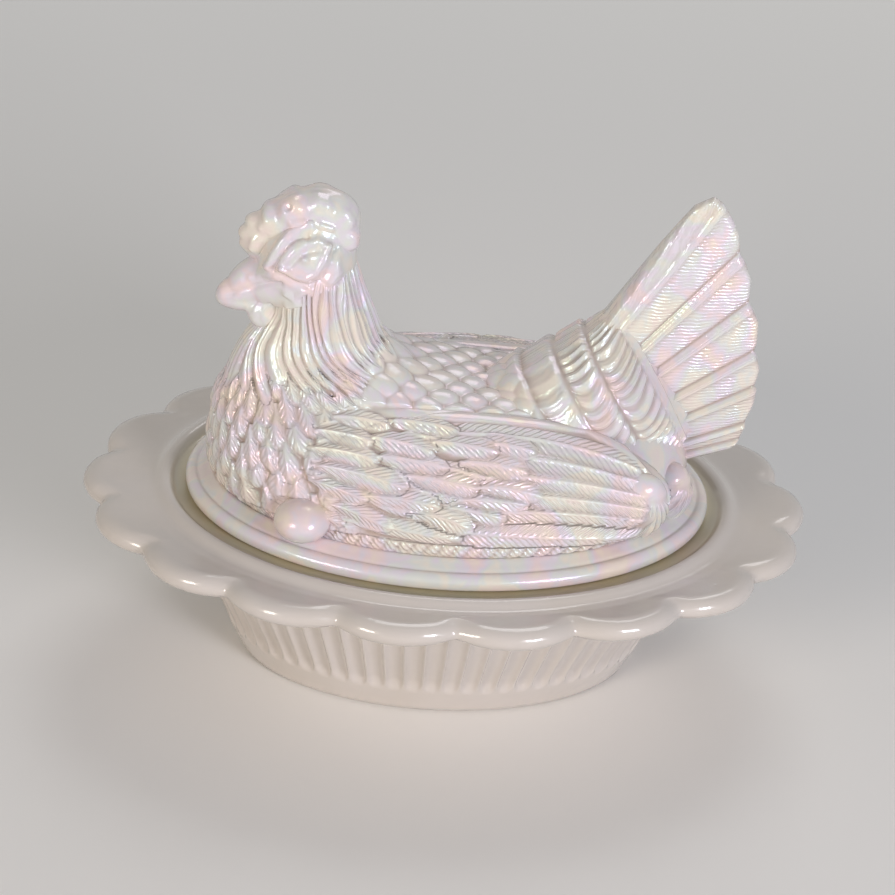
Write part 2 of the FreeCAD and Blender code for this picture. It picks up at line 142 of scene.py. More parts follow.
def evenly(table, count, measure):
    """Rows of a table resampled so that a running length, taken over the named columns, grows evenly."""
    steps = np.sqrt((np.diff(table[:, measure], axis=0) ** 2).sum(1))
    length = np.concatenate([[0.0], np.cumsum(steps)])
    wanted = np.linspace(0.0, length[-1], count)
    return np.stack([np.interp(wanted, length, column) for column in table.T], -1)


def grid_normals(grid):
    """Unit normals of a grid whose columns close: the cross product of its two directions."""
    along = np.gradient(grid, axis=0)
    across = (np.roll(grid, -1, axis=1) - np.roll(grid, 1, axis=1)) / 2
    normal = np.cross(across, along)
    return normal / np.maximum(np.linalg.norm(normal, axis=-1, keepdims=True), 1e-9)


# %% [markdown]
# ## The dish
# A real dish of this kind is pressed in one mould: a plunger makes the smooth inside, and the mould's wall
# makes the flutes and scallops. So its section is one closed profile, from under the foot, round the lip and
# down into the bowl, carried round an oval. Two patterns change it along the way: 64 hollow flutes in the wall
# and 18 lobes in the flange, with a valley that runs inwards from each notch.

# %% Profile of the dish
# Each row: half length, half width, height, flute share, scallop share, and steps to the next row.
DISH_PROFILE = [
    (0.0, 0.0, 1.2, 0, 0, 3),
    (51.8, 29.3, 1.2, 0, 0, 1),
    (52.6, 30.1, 0.9, 0, 0, 1),
    (53.3, 30.8, 0.2, 0, 0, 1),
    (54.2, 31.7, 0.0, 0, 0, 2),
    (57.6, 35.1, 0.0, 0, 0, 1),
    (58.7, 36.2, 0.2, 0, 0, 1),
    (59.5, 37.0, 0.9, 0, 0, 1),
    (60.2, 37.7, 2.2, 0, 0, 4),
    (63.0, 40.5, 8.4, 0, 0, 2),
    (63.5, 41.0, 9.6, 0.5, 0, 1),
    (63.8, 41.3, 10.4, 1, 0, 10),
    (66.2, 43.9, 16.6, 1, 0, 14),
    (78.8, 57.7, 45.5, 1, 0, 2),
    (79.9, 58.9, 47.3, 0.9, 0, 1),
    (81.2, 60.3, 48.5, 0.6, 0, 1),
    (83.2, 62.1, 49.0, 0.2, 0, 1),
    (86.0, 64.0, 49.1, 0, 0.05, 6),
    (101.5, 73.6, 49.3, 0, 0.75, 2),
    (104.3, 75.9, 49.5, 0, 1, 1),
    (105.8, 77.3, 50.1, 0, 1, 1),
    (107.0, 78.5, 51.2, 0, 1, 1),
    (107.5, 79.0, 52.6, 0, 1, 1),
    (107.2, 78.7, 54.0, 0, 1, 1),
    (106.3, 77.8, 55.1, 0, 1, 1),
    (104.8, 76.4, 55.8, 0, 1, 1),
    (103.0, 74.9, 56.0, 0, 1, 2),
    (99.5, 72.5, 55.7, 0, 0.60, 5),
    (92.0, 68.0, 55.2, 0, 0.05, 4),
    (88.0, 66.0, 55.3, 0, 0.0, 2),
    (86.6, 65.2, 55.6, 0, 0, 1),
    (85.6, 64.3, 56.2, 0, 0, 1),
    (84.6, 63.4, 56.8, 0, 0, 1),
    (83.6, 62.4, 57.0, 0, 0, 1),
    (82.6, 61.4, 56.7, 0, 0, 1),
    (81.8, 60.6, 56.0, 0, 0, 1),
    (81.1, 59.9, 55.2, 0, 0, 1),
    (80.2, 59.0, 54.6, 0, 0, 2),
    (75.2, 54.0, 54.6, 0, 0, 1),
    (74.2, 53.0, 54.2, 0, 0, 1),
    (73.7, 52.5, 53.2, 0, 0, 1),
    (72.2, 51.0, 49.0, 0, 0, 6),
    (54.5, 32.7, 14.5, 0, 0, 2),
    (52.4, 30.4, 10.6, 0, 0, 2),
    (49.0, 27.0, 8.0, 0, 0, 1),
    (45.0, 23.0, 7.0, 0, 0, 3),
    (0.0, 0.0, 7.0, 0, 0, 1),
]
FLUTES = 64
COLUMNS_PER_FLUTE = 14
FLUTE_DEPTH = 1.7
SCOOP_HEIGHT = 4.6
BAND_TOP = 9.8
SCALLOPS = 18
SCALLOP_DEPTH = 4.6
NOTCH_SPREAD = 0.035
LOBE_HALF_WIDTH = 16.0
LIP_MIDDLE = 52.5
FLANGE_START = 86.0
EVEN_LENGTH, EVEN_WIDTH = 73.0, 51.0
VALLEY_DEPTH = 0.7
VALLEY_WIDTH = 4.0


def even_oval(half_length, half_width, count):
    """Ellipse parameters at even distances along the oval, starting on the side with the egg."""
    fine = np.linspace(0.0, TURN, 20001) - np.pi / 2
    step = np.hypot(np.diff(half_length * np.cos(fine)), np.diff(half_width * np.sin(fine)))
    length = np.concatenate([[0.0], np.cumsum(step)])
    return np.interp(np.arange(count) / count * length[-1], length, fine)


def dish_grid():
    """The profile carried round an oval.

    A flute sets the wall in by depth * (1 - |x|^2.8 - s^2), x being -1 and 1 on its two ridges and s falling
    from 1 to 0 over the scoop that it starts in. A lobe sets the lip in by depth * |x|^2.1, x being -1 and 1
    at its two notches, and each notch sends a soft valley inwards over the flange.
    """
    keys = np.array([row[:5] for row in DISH_PROFILE], float)
    counts = [row[5] for row in DISH_PROFILE]
    parts = []
    for start, end, count in zip(keys[:-1], keys[1:], counts[:-1]):
        share = np.linspace(0.0, 1.0, count, endpoint=False)[:, None]
        parts.append(start + (end - start) * share)
    profile = np.vstack(parts + [keys[-1:]])
    half_length, half_width, height, flute, scallop = (column[:, None] for column in profile.T)
    angle = even_oval(EVEN_LENGTH, EVEN_WIDTH, FLUTES * COLUMNS_PER_FLUTE)[None, :]
    place = np.arange(FLUTES * COLUMNS_PER_FLUTE)[None, :] % COLUMNS_PER_FLUTE / COLUMNS_PER_FLUTE
    across = 2 * place - 1
    scoop = np.clip(1 - (height - BAND_TOP) / SCOOP_HEIGHT, 0, 1)
    hollow = FLUTE_DEPTH * flute * np.clip(1 - np.abs(across) ** 2.8 - scoop**2, 0, 1)
    turn = angle + np.pi / 2
    spread = turn - NOTCH_SPREAD * np.sin(2 * angle)
    lobe = np.abs((spread * SCALLOPS / TURN) % 1.0 * 2 - 1)
    from_notch = np.sqrt((1 - lobe) ** 2 + 0.05**2) - 0.05
    inset = SCALLOP_DEPTH * scallop * np.clip(1 - from_notch, 0, 1) ** 2.1 + hollow
    valley = VALLEY_DEPTH * scallop**4 * bell(from_notch * LOBE_HALF_WIDTH, VALLEY_WIDTH)
    on_flange = np.where(half_length > FLANGE_START, 1, 0)
    height = height + np.where(height > LIP_MIDDLE, -valley, 0.5 * valley) * on_flange
    x = np.maximum(half_length - inset, 0) * np.cos(angle)
    y = np.maximum(half_width - inset, 0) * np.sin(angle)
    # Painted shade: the dish's seat round the lid's rim is darkened to an olive tone, as shade and light
    # through thin glass look there.
    painted_seat_shade = (1 - smooth_step(78.5, 83.5, half_length)) * smooth_step(50.0, 54.0, height)
    return np.stack([x, y, np.broadcast_to(height, x.shape)], -1), painted_seat_shade + 0 * x


grid, painted_seat_shade = dish_grid()
dish = closed_surface("nest_dish_glass", grid, "dish", {"painted_seat_shade": painted_seat_shade})
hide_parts("nest_dish")

# %% [markdown]
# ## The lid's plate
# Under the hen is a plate with a rounded rim that lies in the dish's seat, a sloping ledge, and a lip below
# that keeps the lid from sliding. The hen is hollow, as pressed glass has to be, so this second profile also
# runs up inside her.

# %% Rim, ledge, locating lip and hollow
CAVITY = (67.3, 46.1, 30.0)
SEAT_HEIGHT = 54.6


def dome(half_length, half_width, base, rise, count, upwards):
    """Quarter of an ellipsoid as profile rows: half axes times cosine, height by sine."""
    angle = np.linspace(0.0, np.pi / 2, count)
    c, s = np.cos(angle), np.sin(angle)
    rows = np.stack([half_length * c, half_width * c, base + rise * s], -1)
    return rows if upwards else rows[::-1]


LEDGE_ROWS = [
    (67.3, 46.1, 52.2), (67.6, 46.4, 51.4), (68.4, 47.2, 51.1), (70.8, 49.6, 51.1), (71.6, 50.4, 51.5),
    (72.0, 50.8, 52.4), (72.8, 51.6, 54.2), (73.4, 52.2, 54.6), (75.3, 54.1, 54.6), (76.4, 55.2, 54.9),
    (77.2, 56.0, 55.7), (77.5, 56.3, 56.8), (77.4, 56.2, 57.9), (76.8, 55.6, 58.8), (75.9, 54.7, 59.4),
    (74.9, 53.7, 59.6), (74.2, 53.0, 59.4), (73.8, 52.6, 59.45), (73.2, 52.0, 59.9), (71.6, 50.4, 60.7),
    (70.4, 49.2, 61.3), (69.6, 48.4, 61.4),
]


def plate_grid(columns=384):
    """Profile from the top of the hollow, down round lip and rim, over the ledge and up inside the hen."""
    hollow = dome(CAVITY[0], CAVITY[1], SEAT_HEIGHT, CAVITY[2], 26, False)
    rounded = evenly(through(LEDGE_ROWS, 6), 72, [0, 2])
    hidden_top = dome(68.4, 47.3, 60.6, 27.0, 10, True)
    profile = np.vstack([hollow, rounded, hidden_top])
    angle = full_turn(columns)
    half_length, half_width, height = (column[:, None] for column in profile.T)
    return np.stack([half_length * np.cos(angle), half_width * np.sin(angle), height + 0 * angle], -1)


plate = closed_surface("lid_plate_glass", plate_grid(), "lid")
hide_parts("hen_lid")

# %% [markdown]
# ## The hen's body
# Breast, back and neck are one skin, a fan of closed loops: the lowest lies flat on the ledge, and each next
# one tips forward more, until the last is a slice through the neck. A row gives a loop's front point, its rear
# point and its half width, as shares of the body's sizes, and a smooth curve through those few rows gives as
# many loops as wanted. The wings swell out of that skin where an ellipsoid lies just under it.

# %% Skin of the body before any feather
HALF_LENGTH, HALF_WIDTH, HEAD_RISE, LEDGE_TOP = 70.0, 48.8, 66.8, 61.6
BODY_LOOPS = [
    (-1.000, -0.035, 1.000, -0.035, 1.000),
    (-1.020, 0.120, 1.010, 0.155, 0.960),
    (-1.010, 0.235, 0.930, 0.320, 0.875),
    (-1.000, 0.335, 0.787, 0.415, 0.725),
    (-0.965, 0.430, 0.555, 0.450, 0.545),
    (-0.930, 0.535, 0.277, 0.463, 0.430),
    (-0.885, 0.630, 0.027, 0.492, 0.370),
    (-0.830, 0.705, -0.177, 0.550, 0.330),
    (-0.790, 0.768, -0.300, 0.648, 0.297),
    (-0.780, 0.825, -0.360, 0.776, 0.279),
    (-0.770, 0.950, -0.420, 0.930, 0.250),
    (-0.752, 1.020, -0.440, 1.070, 0.215),
]
BODY_COLUMNS = 600
BODY_ROWS = 300


def body_skin():
    """Loops between a front and a rear point: middle - reach * cos u along, half width * sin u across."""
    table = through(BODY_LOOPS, 40)
    sizes = table * [HALF_LENGTH, HEAD_RISE, HALF_LENGTH, HEAD_RISE, HALF_WIDTH]
    loops = evenly(sizes, BODY_ROWS, [2, 3, 4])
    front_x, front_z, rear_x, rear_z, side = (column[:, None] for column in loops.T)
    turn = full_turn(BODY_COLUMNS)
    x = (front_x + rear_x) / 2 - (rear_x - front_x) / 2 * np.cos(turn)
    z = LEDGE_TOP + (front_z + rear_z) / 2 - (rear_z - front_z) / 2 * np.cos(turn)
    y = side * np.sin(turn)
    return np.stack([x, y, z], -1), turn


def way_out(start, way, miss):
    """Distance to the unit sphere: the larger root t of |start + t way| = 1, or miss where there is none."""
    a = (way * way).sum(-1)
    b = (start * way).sum(-1)
    inside = b * b - a * ((start * start).sum(-1) - 1)
    return np.where(inside > 0, (-b + np.sqrt(np.maximum(inside, 0))) / a, miss)


def swollen(grid, normals, centre, half_sizes, lean, soft=2.4):
    """Grid moved out along its normals to an ellipsoid that lies under it, with a soft edge.

    Turned and scaled, the ellipsoid is the unit sphere, and t is the way out to it. The move is
    soft * log(1 + exp(t / soft)), which is 0 far inside and t far outside.
    """
    c, s = np.cos(lean), np.sin(lean)
    turn_back = np.array([[1, 0, 0], [0, c, s], [0, -s, c]])
    scaled = turn_back / np.asarray(half_sizes, float)[:, None]
    distance = np.clip(way_out((grid - centre) @ scaled.T, normals @ scaled.T, -20.0), -20.0, 20.0)
    move = soft * np.log1p(np.exp(distance / soft))
    return grid + normals * move[..., None]


skin, body_turn = body_skin()
skin_normals = grid_normals(skin)
outward = np.sign((skin_normals[40, :, 1] * skin[40, :, 1]).sum())
WING_CENTRE = (11.9, 32.2, 75.0)
WING_SIZES = (50.0, 8.5, 19.0)
WING_LEAN = np.radians(38)
for side in (-1, 1):
    centre = np.array([WING_CENTRE[0], side * WING_CENTRE[1], WING_CENTRE[2]])
    skin = swollen(skin, grid_normals(skin) * outward, centre, WING_SIZES, side * WING_LEAN)
skin_normals = grid_normals(skin) * outward
print("skin", skin.shape, "x", skin[..., 0].min(), skin[..., 0].max(), "z max", skin[..., 2].max())

# %% [markdown]
# ## A brush for feathers
# A pressed feather is a shallow relief: a rounded vane with a raised end, a shaft along its middle and
# slanted barbs. The vanes change the shape by one to two millimetres, so they move the skin. The barbs are
# finer than the grid, so only their phase is painted, as a vertex attribute, and the glass material turns it
# into a bump. Feathers are painted like shingles: each new one covers what lies under it.

# %% The brush


def relief_map(across, along):
    """Empty map: two coordinates in millimetres, a height, a barb phase in turns, and the barbs' strength."""
    height, phase, strength = np.full_like(across, 0.45), np.zeros_like(across), np.zeros_like(across)
    return {"across": across, "along": along, "height": height, "phase": phase, "strength": strength}


def feather(chart, spine, half_width, lift, pitch, slant, barbs, tip, root, shaft, crown):
    """One feather along a curved spine.

    The spine is a quadratic curve through three points, given as six numbers. A point's share along it and its
    signed distance from it come from its nearest spine piece. The outline ends in a half ellipse over the last
    share, tip, and its edge is soft. Height is lift, more towards the tip, plus a crown (1 - r^2) and a ridge
    for the shaft. The barb phase is (length - slant * |side|) / pitch, and barbs is how strong they are.
    """
    a, b, c = np.reshape(spine, (3, 2))
    share = np.linspace(0.0, 1.0, 9)[:, None]
    middle = 2 * b - (a + c) / 2
    line = (1 - share) ** 2 * a + 2 * share * (1 - share) * middle + share**2 * c
    low = line.min(0) - half_width - 1
    high = line.max(0) + half_width + 1
    near = (chart["across"] > low[0]) & (chart["across"] < high[0])
    near &= (chart["along"] > low[1]) & (chart["along"] < high[1])
    px, py = chart["across"][near], chart["along"][near]
    best = np.full(px.shape, 1e9)
    run = np.zeros(px.shape)
    off = np.zeros(px.shape)
    steps = np.diff(line, axis=0)
    lengths = np.hypot(steps[:, 0], steps[:, 1])
    done = np.concatenate([[0.0], np.cumsum(lengths)])
    for piece in range(len(steps)):
        along = steps[piece] / lengths[piece]
        dx, dy = px - line[piece, 0], py - line[piece, 1]
        forward = dx * along[0] + dy * along[1]
        held = np.clip(forward, 0, lengths[piece])
        sideways = along[0] * dy - along[1] * dx
        distance = np.hypot(sideways, forward - held)
        closer = distance < best
        best = np.where(closer, distance, best)
        run = np.where(closer, done[piece] + forward, run)
        off = np.where(closer, sideways, off)
    total = done[-1]
    share = run / total
    width = half_width * np.sqrt(np.clip(share / root, 0.15, 1))
    ring = np.hypot(np.clip((share - 1 + tip) / tip, 0, None), off / width)
    edge = np.where(share < -0.02, 0, (1 - ring) * width)
    covers = smooth_step(0.0, 1.25, edge)
    arch = np.clip(1 - ring**2, 0, 1)
    height = lift * (0.45 + 0.55 * np.clip(share, 0, 1)) + crown * lift * arch
    height = height + shaft * bell(off, 0.5) * smooth_step(0.0, 0.08, share)
    chart["height"][near] = chart["height"][near] * (1 - covers) + height * covers
    inside = edge > 0.1
    phase = (run - slant * np.abs(off)) / pitch
    chart["phase"][near] = np.where(inside, phase, chart["phase"][near])
    strength = barbs * smooth_step(0.3, 1.2, edge) * smooth_step(0.35, 0.75, np.abs(off))
    chart["strength"][near] = np.where(inside, strength, chart["strength"][near])


def painted_hollow_shade(height, spread):
    """How deep each point lies under its surroundings, 0 to 1: a wide Fourier blur minus the height.
    It is used as painted shade: the glass is darkened where a point lies deep.
    """
    rows = np.fft.fftfreq(height.shape[0])[:, None]
    columns = np.fft.fftfreq(height.shape[1])[None, :]
    softened = np.fft.fft2(height) * np.exp(-2 * (np.pi * spread) ** 2 * (rows**2 + columns**2))
    return np.clip((np.fft.ifft2(softened).real - height) / 0.6, 0, 1)


def puff(chart, middle, half_length, half_width, lift):
    """One small round feather: a dome of lift * (1 - r^2)^0.8, higher towards the tail, joined by maximum."""
    ahead = (chart["across"] - middle[0]) / half_length
    aside = (chart["along"] - middle[1]) / half_width
    inside = np.clip(1 - ahead**2 - aside**2, 0, 1)
    dome = lift * inside**0.8 * (0.8 + 0.2 * ahead)
    chart["height"][:] = np.maximum(chart["height"], dome)


def lay(chart, mask, height, phase=None, strength=0.0, over=0.5):
    """Blend a height in by a mask. Barbs fade out under it, or change where the mask is over a threshold."""
    chart["height"] = chart["height"] * (1 - mask) + height * mask
    if phase is None:
        chart["strength"] = chart["strength"] * (1 - mask)
        return
    chart["phase"] = np.where(mask > over, phase, chart["phase"])
    chart["strength"] = np.where(mask > over, strength * mask, chart["strength"])


# %% [markdown]
# ## Where the feathers go
# Wing and back are charted by two numbers: the distance along the hen, and the girth, which is how far up the
# flank a point lies, from 0 at the ledge to 66 mm on the ridge of the back. On that chart a wing is nearly
# flat, so its feathers can be drawn with straight numbers. Both flanks share one chart.

# %% Chart of the flanks
x, y, z = skin[..., 0], skin[..., 1], skin[..., 2]
RIDGE_GIRTH = 66.0
girth = RIDGE_GIRTH / (np.pi / 2) * np.arctan2((z - LEDGE_TOP) / 35.4, np.abs(y) / 48.5)
chart = relief_map(x, girth)
breast_angle = np.abs(np.where(body_turn > np.pi, body_turn - TURN, body_turn)) + 0 * x
row_length = np.concatenate([[0.0], np.cumsum(np.linalg.norm(np.diff(skin[:, 0], axis=0), axis=-1))])
down = (row_length[-1] - row_length)[:, None] + 0 * x
chance = np.random.default_rng(7)

# %% Breast: leaf-shaped feathers in staggered rows, the upper ones over the lower ones
BREAST_RADIUS = 46.0
BREAST_SPACING = 6.0
BREAST_ROWS = np.arange(84.0, 22.0, -6.2)
breast_chart = dict(chart, across=breast_angle * BREAST_RADIUS, along=down)
for number, row in enumerate(BREAST_ROWS):
    for place in np.arange(-3.0, 112.0, BREAST_SPACING):
        sway = chance.uniform(-1.0, 1.0, 5)
        start = place + BREAST_SPACING / 2 * (number % 2) + 0.9 * sway[0]
        top = row - 9.5 + 1.2 * sway[1]
        bend = 0.9 * sway[2]
        lean = 0.012 * start + 0.5 * sway[3]
        spine = (start, top, start + bend + lean, top + 5.2, start + 2 * lean, top + 11.0)
        feather(breast_chart, spine, 3.8 + 0.3 * sway[4], 1.05, 1.9, 1.3, 0.5, 0.45, 0.5, 0.35, 1.1)

# %% Back: staggered rows of small puffy feathers
back_area = smooth_step(-30.0, -24.0, x) * smooth_step(38.0, 42.0, girth)
lay(chart, back_area, 0.3)
back_chart = dict(chart, along=RIDGE_GIRTH - girth)
for step, column in enumerate(np.arange(-26.0, 40.0, 4.3)):
    for line in np.arange(0.0, 26.0, 9.2) + 4.6 * (step % 2):
        sway = chance.uniform(-1.0, 1.0, 4)
        middle = (column + 0.7 * sway[1], line + 0.6 * sway[0])
        puff(back_chart, middle, 5.8 + 0.5 * sway[2], 4.8 + 0.4 * sway[3], 2.6)

# %% Wing: long feathers first, then the coverts that lie over them
wing_area = smooth_step(-30.0, -24.0, x) * (1 - smooth_step(46.0, 47.5, girth))
lay(chart, wing_area, 0.25)

# Each row: across and along for three points of the spine, then half width, lift, barb pitch and slant.
LONG_FEATHERS = [
    (-4.0, 9.4, 26.0, 7.8, 55.0, 6.2, 5.2, 0.9, 1.9, 1.0),
    (6.0, 15.6, 29.3, 16.2, 55.0, 13.0, 3.6, 1.0, 1.8, 1.3),
    (10.0, 21.5, 32.0, 20.8, 56.0, 17.0, 4.0, 1.0, 1.7, 1.3),
    (8.0, 27.6, 32.3, 26.0, 56.0, 21.5, 3.9, 1.0, 1.75, 1.3),
    (2.0, 33.2, 30.0, 31.8, 55.0, 26.0, 4.2, 1.05, 1.9, 1.4),
    (-4.0, 39.2, 28.0, 37.8, 53.0, 30.5, 4.6, 1.0, 2.3, 1.3),
]
for *spine, half_width, lift, pitch, slant in LONG_FEATHERS:
    feather(chart, spine, half_width + 0.3, 0.9 * lift, pitch, slant, 0.9, 0.16, 0.1, 0.6, 0.7)

# Each row: three points of the spine, as above, and the half width.
COVERTS = [
    (-3.0, 27.4, 6.0, 26.9, 16.0, 24.4, 3.8), (-13.0, 21.8, -4.0, 21.2, 6.0, 18.4, 3.8),
    (-14.0, 28.4, -5.0, 28.2, 4.0, 27.0, 3.4), (-24.0, 26.4, -16.0, 25.6, -7.0, 23.6, 3.6),
    (-26.0, 17.4, -16.0, 16.4, -5.0, 13.0, 3.6), (-4.0, 16.8, 5.0, 16.2, 14.0, 13.6, 3.6),
    (2.0, 36.6, 12.0, 36.2, 22.0, 34.4, 3.4), (-18.0, 38.2, -9.0, 37.4, 1.0, 35.4, 3.4),
    (-34.0, 9.6, -18.0, 9.0, 2.0, 6.4, 3.8), (-50.0, 12.4, -42.0, 10.8, -31.0, 7.2, 3.4),
    (-14.3, 15.0, -4.8, 13.9, 4.8, 9.9, 3.9), (0.0, 19.6, 10.0, 19.9, 20.0, 18.6, 3.4),
    (-36.8, 14.7, -27.7, 12.7, -18.0, 8.0, 3.6), (-30.0, 18.4, -18.0, 18.9, -4.5, 17.0, 3.6),
    (4.6, 23.4, 13.1, 23.6, 23.5, 21.4, 3.4), (-14.8, 25.9, -5.3, 25.0, 6.0, 22.9, 4.0),
    (-42.0, 22.5, -34.0, 20.5, -25.0, 17.0, 3.6), (-40.6, 27.6, -29.4, 26.1, -14.0, 22.0, 4.6),
    (0.0, 30.6, 10.0, 30.2, 19.5, 28.4, 3.6), (-24.0, 31.2, -14.0, 30.6, -3.0, 28.6, 3.6),
    (-8.6, 36.2, 0.0, 35.6, 11.0, 33.9, 3.6), (-42.0, 33.4, -33.0, 32.4, -22.0, 29.6, 3.8),
    (-26.5, 37.1, -17.0, 35.6, -6.5, 32.6, 3.8), (-41.0, 39.2, -33.0, 38.0, -24.0, 35.2, 3.6),
    (-20.0, 42.6, -11.0, 41.8, 0.0, 39.8, 3.2), (-36.0, 43.4, -28.0, 42.8, -19.0, 40.6, 3.0),
]
for *spine, half_width in COVERTS:
    feather(chart, spine, half_width + 0.4, 1.0, 2.1, 1.6, 0.75, 0.34, 0.35, 0.55, 1.0)

# %% The smooth band along the wing's top
band_low = np.interp(x, [-30, -23, 5, 36, 50, 58], [42.5, 43.2, 43.6, 42.6, 34.0, 27.0])
band_high = np.interp(x, [-30, -23, 1, 26, 36, 47, 53, 58], [46.0, 46.6, 48.2, 48.6, 46.6, 41.5, 33.5, 26.5])
in_band = smooth_step(0.0, 0.8, girth - band_low) * smooth_step(0.0, 0.8, band_high - girth)
in_band = in_band * smooth_step(-24.0, -16.0, x) * (1 - smooth_step(56.0, 60.0, x))
band_top = 0.9 + 0.35 * (1 - ((girth - band_low) / np.maximum(band_high - band_low, 0.5) * 2 - 1) ** 2)
lay(chart, in_band, band_top)

# %% Hackle: strands that run from the head down over the neck, and end in points
strand_turn = body_turn + 0 * x
flow = 0.22 * np.sin(down / 11.0) * np.sin(strand_turn)
uneven = 0.05 * np.sin(5 * strand_turn) + 0.03 * np.sin(11 * strand_turn + down / 6.0)
strands = (strand_turn + flow + uneven) * 36.0 / TURN
strand_profile = np.abs(np.sin(strands * np.pi))
HACKLE_END_X = [-70, -58, -52, -43, -36, -28, -22, -18]
HACKLE_END_Z = [89.0, 91.0, 94.0, 96.0, 98.5, 100.5, 103.5, 106.0]
lowest = np.interp(x, HACKLE_END_X, HACKLE_END_Z)
staggered = 2.2 * np.sin(np.floor(strands) * 2.4)
hackle = smooth_step(0.0, 3.5, z - lowest + 4.0 * strand_profile - 1.5 + staggered)
hackle = hackle * (1 - smooth_step(-20.0, -14.0, x))
strand_height = 0.95 * strand_profile**0.7 + 0.25 * np.abs(np.sin(2 * strands * np.pi + 0.7))
lay(chart, hackle, 0.35 + strand_height, strands * 3.0, 0.35)

# %% Fringe: short straw barbs where the hen sits on the ledge
around = np.unwrap(np.arctan2(y / HALF_WIDTH, x / HALF_LENGTH), axis=1) * 60.0
fringe_top = 4.6 + 8.0 * smooth_step(52.0, 62.0, x)
fringe = (1 - smooth_step(fringe_top - 1.5, fringe_top, girth)) * smooth_step(-75.0, -40.0, x)
straws = around / 3.4 + girth * 0.10 * np.sign(y)
straw_height = 0.35 + 0.75 * np.abs(np.sin(straws * np.pi)) ** 0.8
lay(chart, fringe, straw_height, straws * 2.0 + 0.6 * girth, 0.9, 0.4)

# %% Move the skin and close it in two pieces
RELIEF_MIDDLE = 1.5
fade = smooth_step(0.0, 3.0, z - 59.8) * (1 - smooth_step(0.93, 1.0, np.linspace(0, 1, BODY_ROWS))[:, None])
body_grid = skin + skin_normals * (chart["height"] * fade - RELIEF_MIDDLE)[..., None]
body_normals = grid_normals(body_grid) * outward


def drawn_in(ring, centre, share):
    """One ring moved towards a centre by a share of the way."""
    return (ring + (np.asarray(centre) - ring) * share)[None]


def padded_rows(values):
    """Rows repeated for the two hidden rings at each side."""
    return np.concatenate([values[:1], values[:1], values, values[-1:], values[-1:]])


split = BODY_ROWS // 2
# The marks hold the barbs' phase and strength, and painted shade that darkens the glass where the relief lies
# deep.
marks = {
    "barb_phase": chart["phase"],
    "barb_strength": chart["strength"] * fade,
    "painted_hollow_shade": painted_hollow_shade(chart["height"], 4.0) * fade,
}
# Each band is closed inside the glass: one ring drawn in at each open side, then a pole at a hidden centre.
for name, band, first, last in (
    ("hen_flanks_glass", slice(0, split + 1), (0, 0, 88.5), (-10, 0, 88.5)),
    ("hen_back_and_neck_glass", slice(split, BODY_ROWS), (-10, 0, 88.5), (-42, 0, 128)),
):
    rings = body_grid[band]
    grid = np.concatenate([
        drawn_in(rings[0], first, 1.0), drawn_in(rings[0], first, 0.04), rings,
        drawn_in(rings[-1], last, 0.04), drawn_in(rings[-1], last, 1.0),
    ])
    piece_marks = {key: padded_rows(values[band]) for key, values in marks.items()}
    closed_surface(name, grid, "lid", piece_marks, padded_rows(body_normals[band]))

# %% [markdown]
# ## Saddle, tail and the small leaves at its root
# The saddle is the hump of cushion feathers in front of the tail. Its sections are ovals round an axis that
# points up at the tail, and they narrow to the tail's thickness where the two meet. Feather bands are then
# stretches of that axis, and their ribs are places round it. The tail is a flat fan: each point is given by an
# angle and a radius from one centre low inside the hen, where all the shafts meet.

# %% Saddle
SADDLE_CENTRE = np.array([36.4, 0.0, 85.6])
SADDLE_TILT = np.radians(38.0)
# Each row: place along the axis, half width, height above the axis, depth below it.
SADDLE_SECTIONS = [
    (-30.0, 3.0, 16.0, 10.0), (-26.0, 12.0, 22.0, 16.0), (-20.0, 19.0, 23.0, 20.0), (-12.0, 22.5, 22.8, 24.0),
    (-4.0, 24.0, 22.3, 26.0), (4.0, 23.6, 21.6, 27.0), (11.0, 21.4, 21.0, 27.5), (17.0, 17.6, 21.0, 27.5),
    (21.5, 12.8, 21.2, 27.0), (24.6, 8.2, 21.0, 26.5), (26.4, 5.6, 20.0, 25.0), (27.6, 3.6, 17.0, 22.0),
]
SADDLE_BANDS = (-8.0, 4.0, 14.2, 24.8)
SADDLE_RIBS = (22, 40, 46)


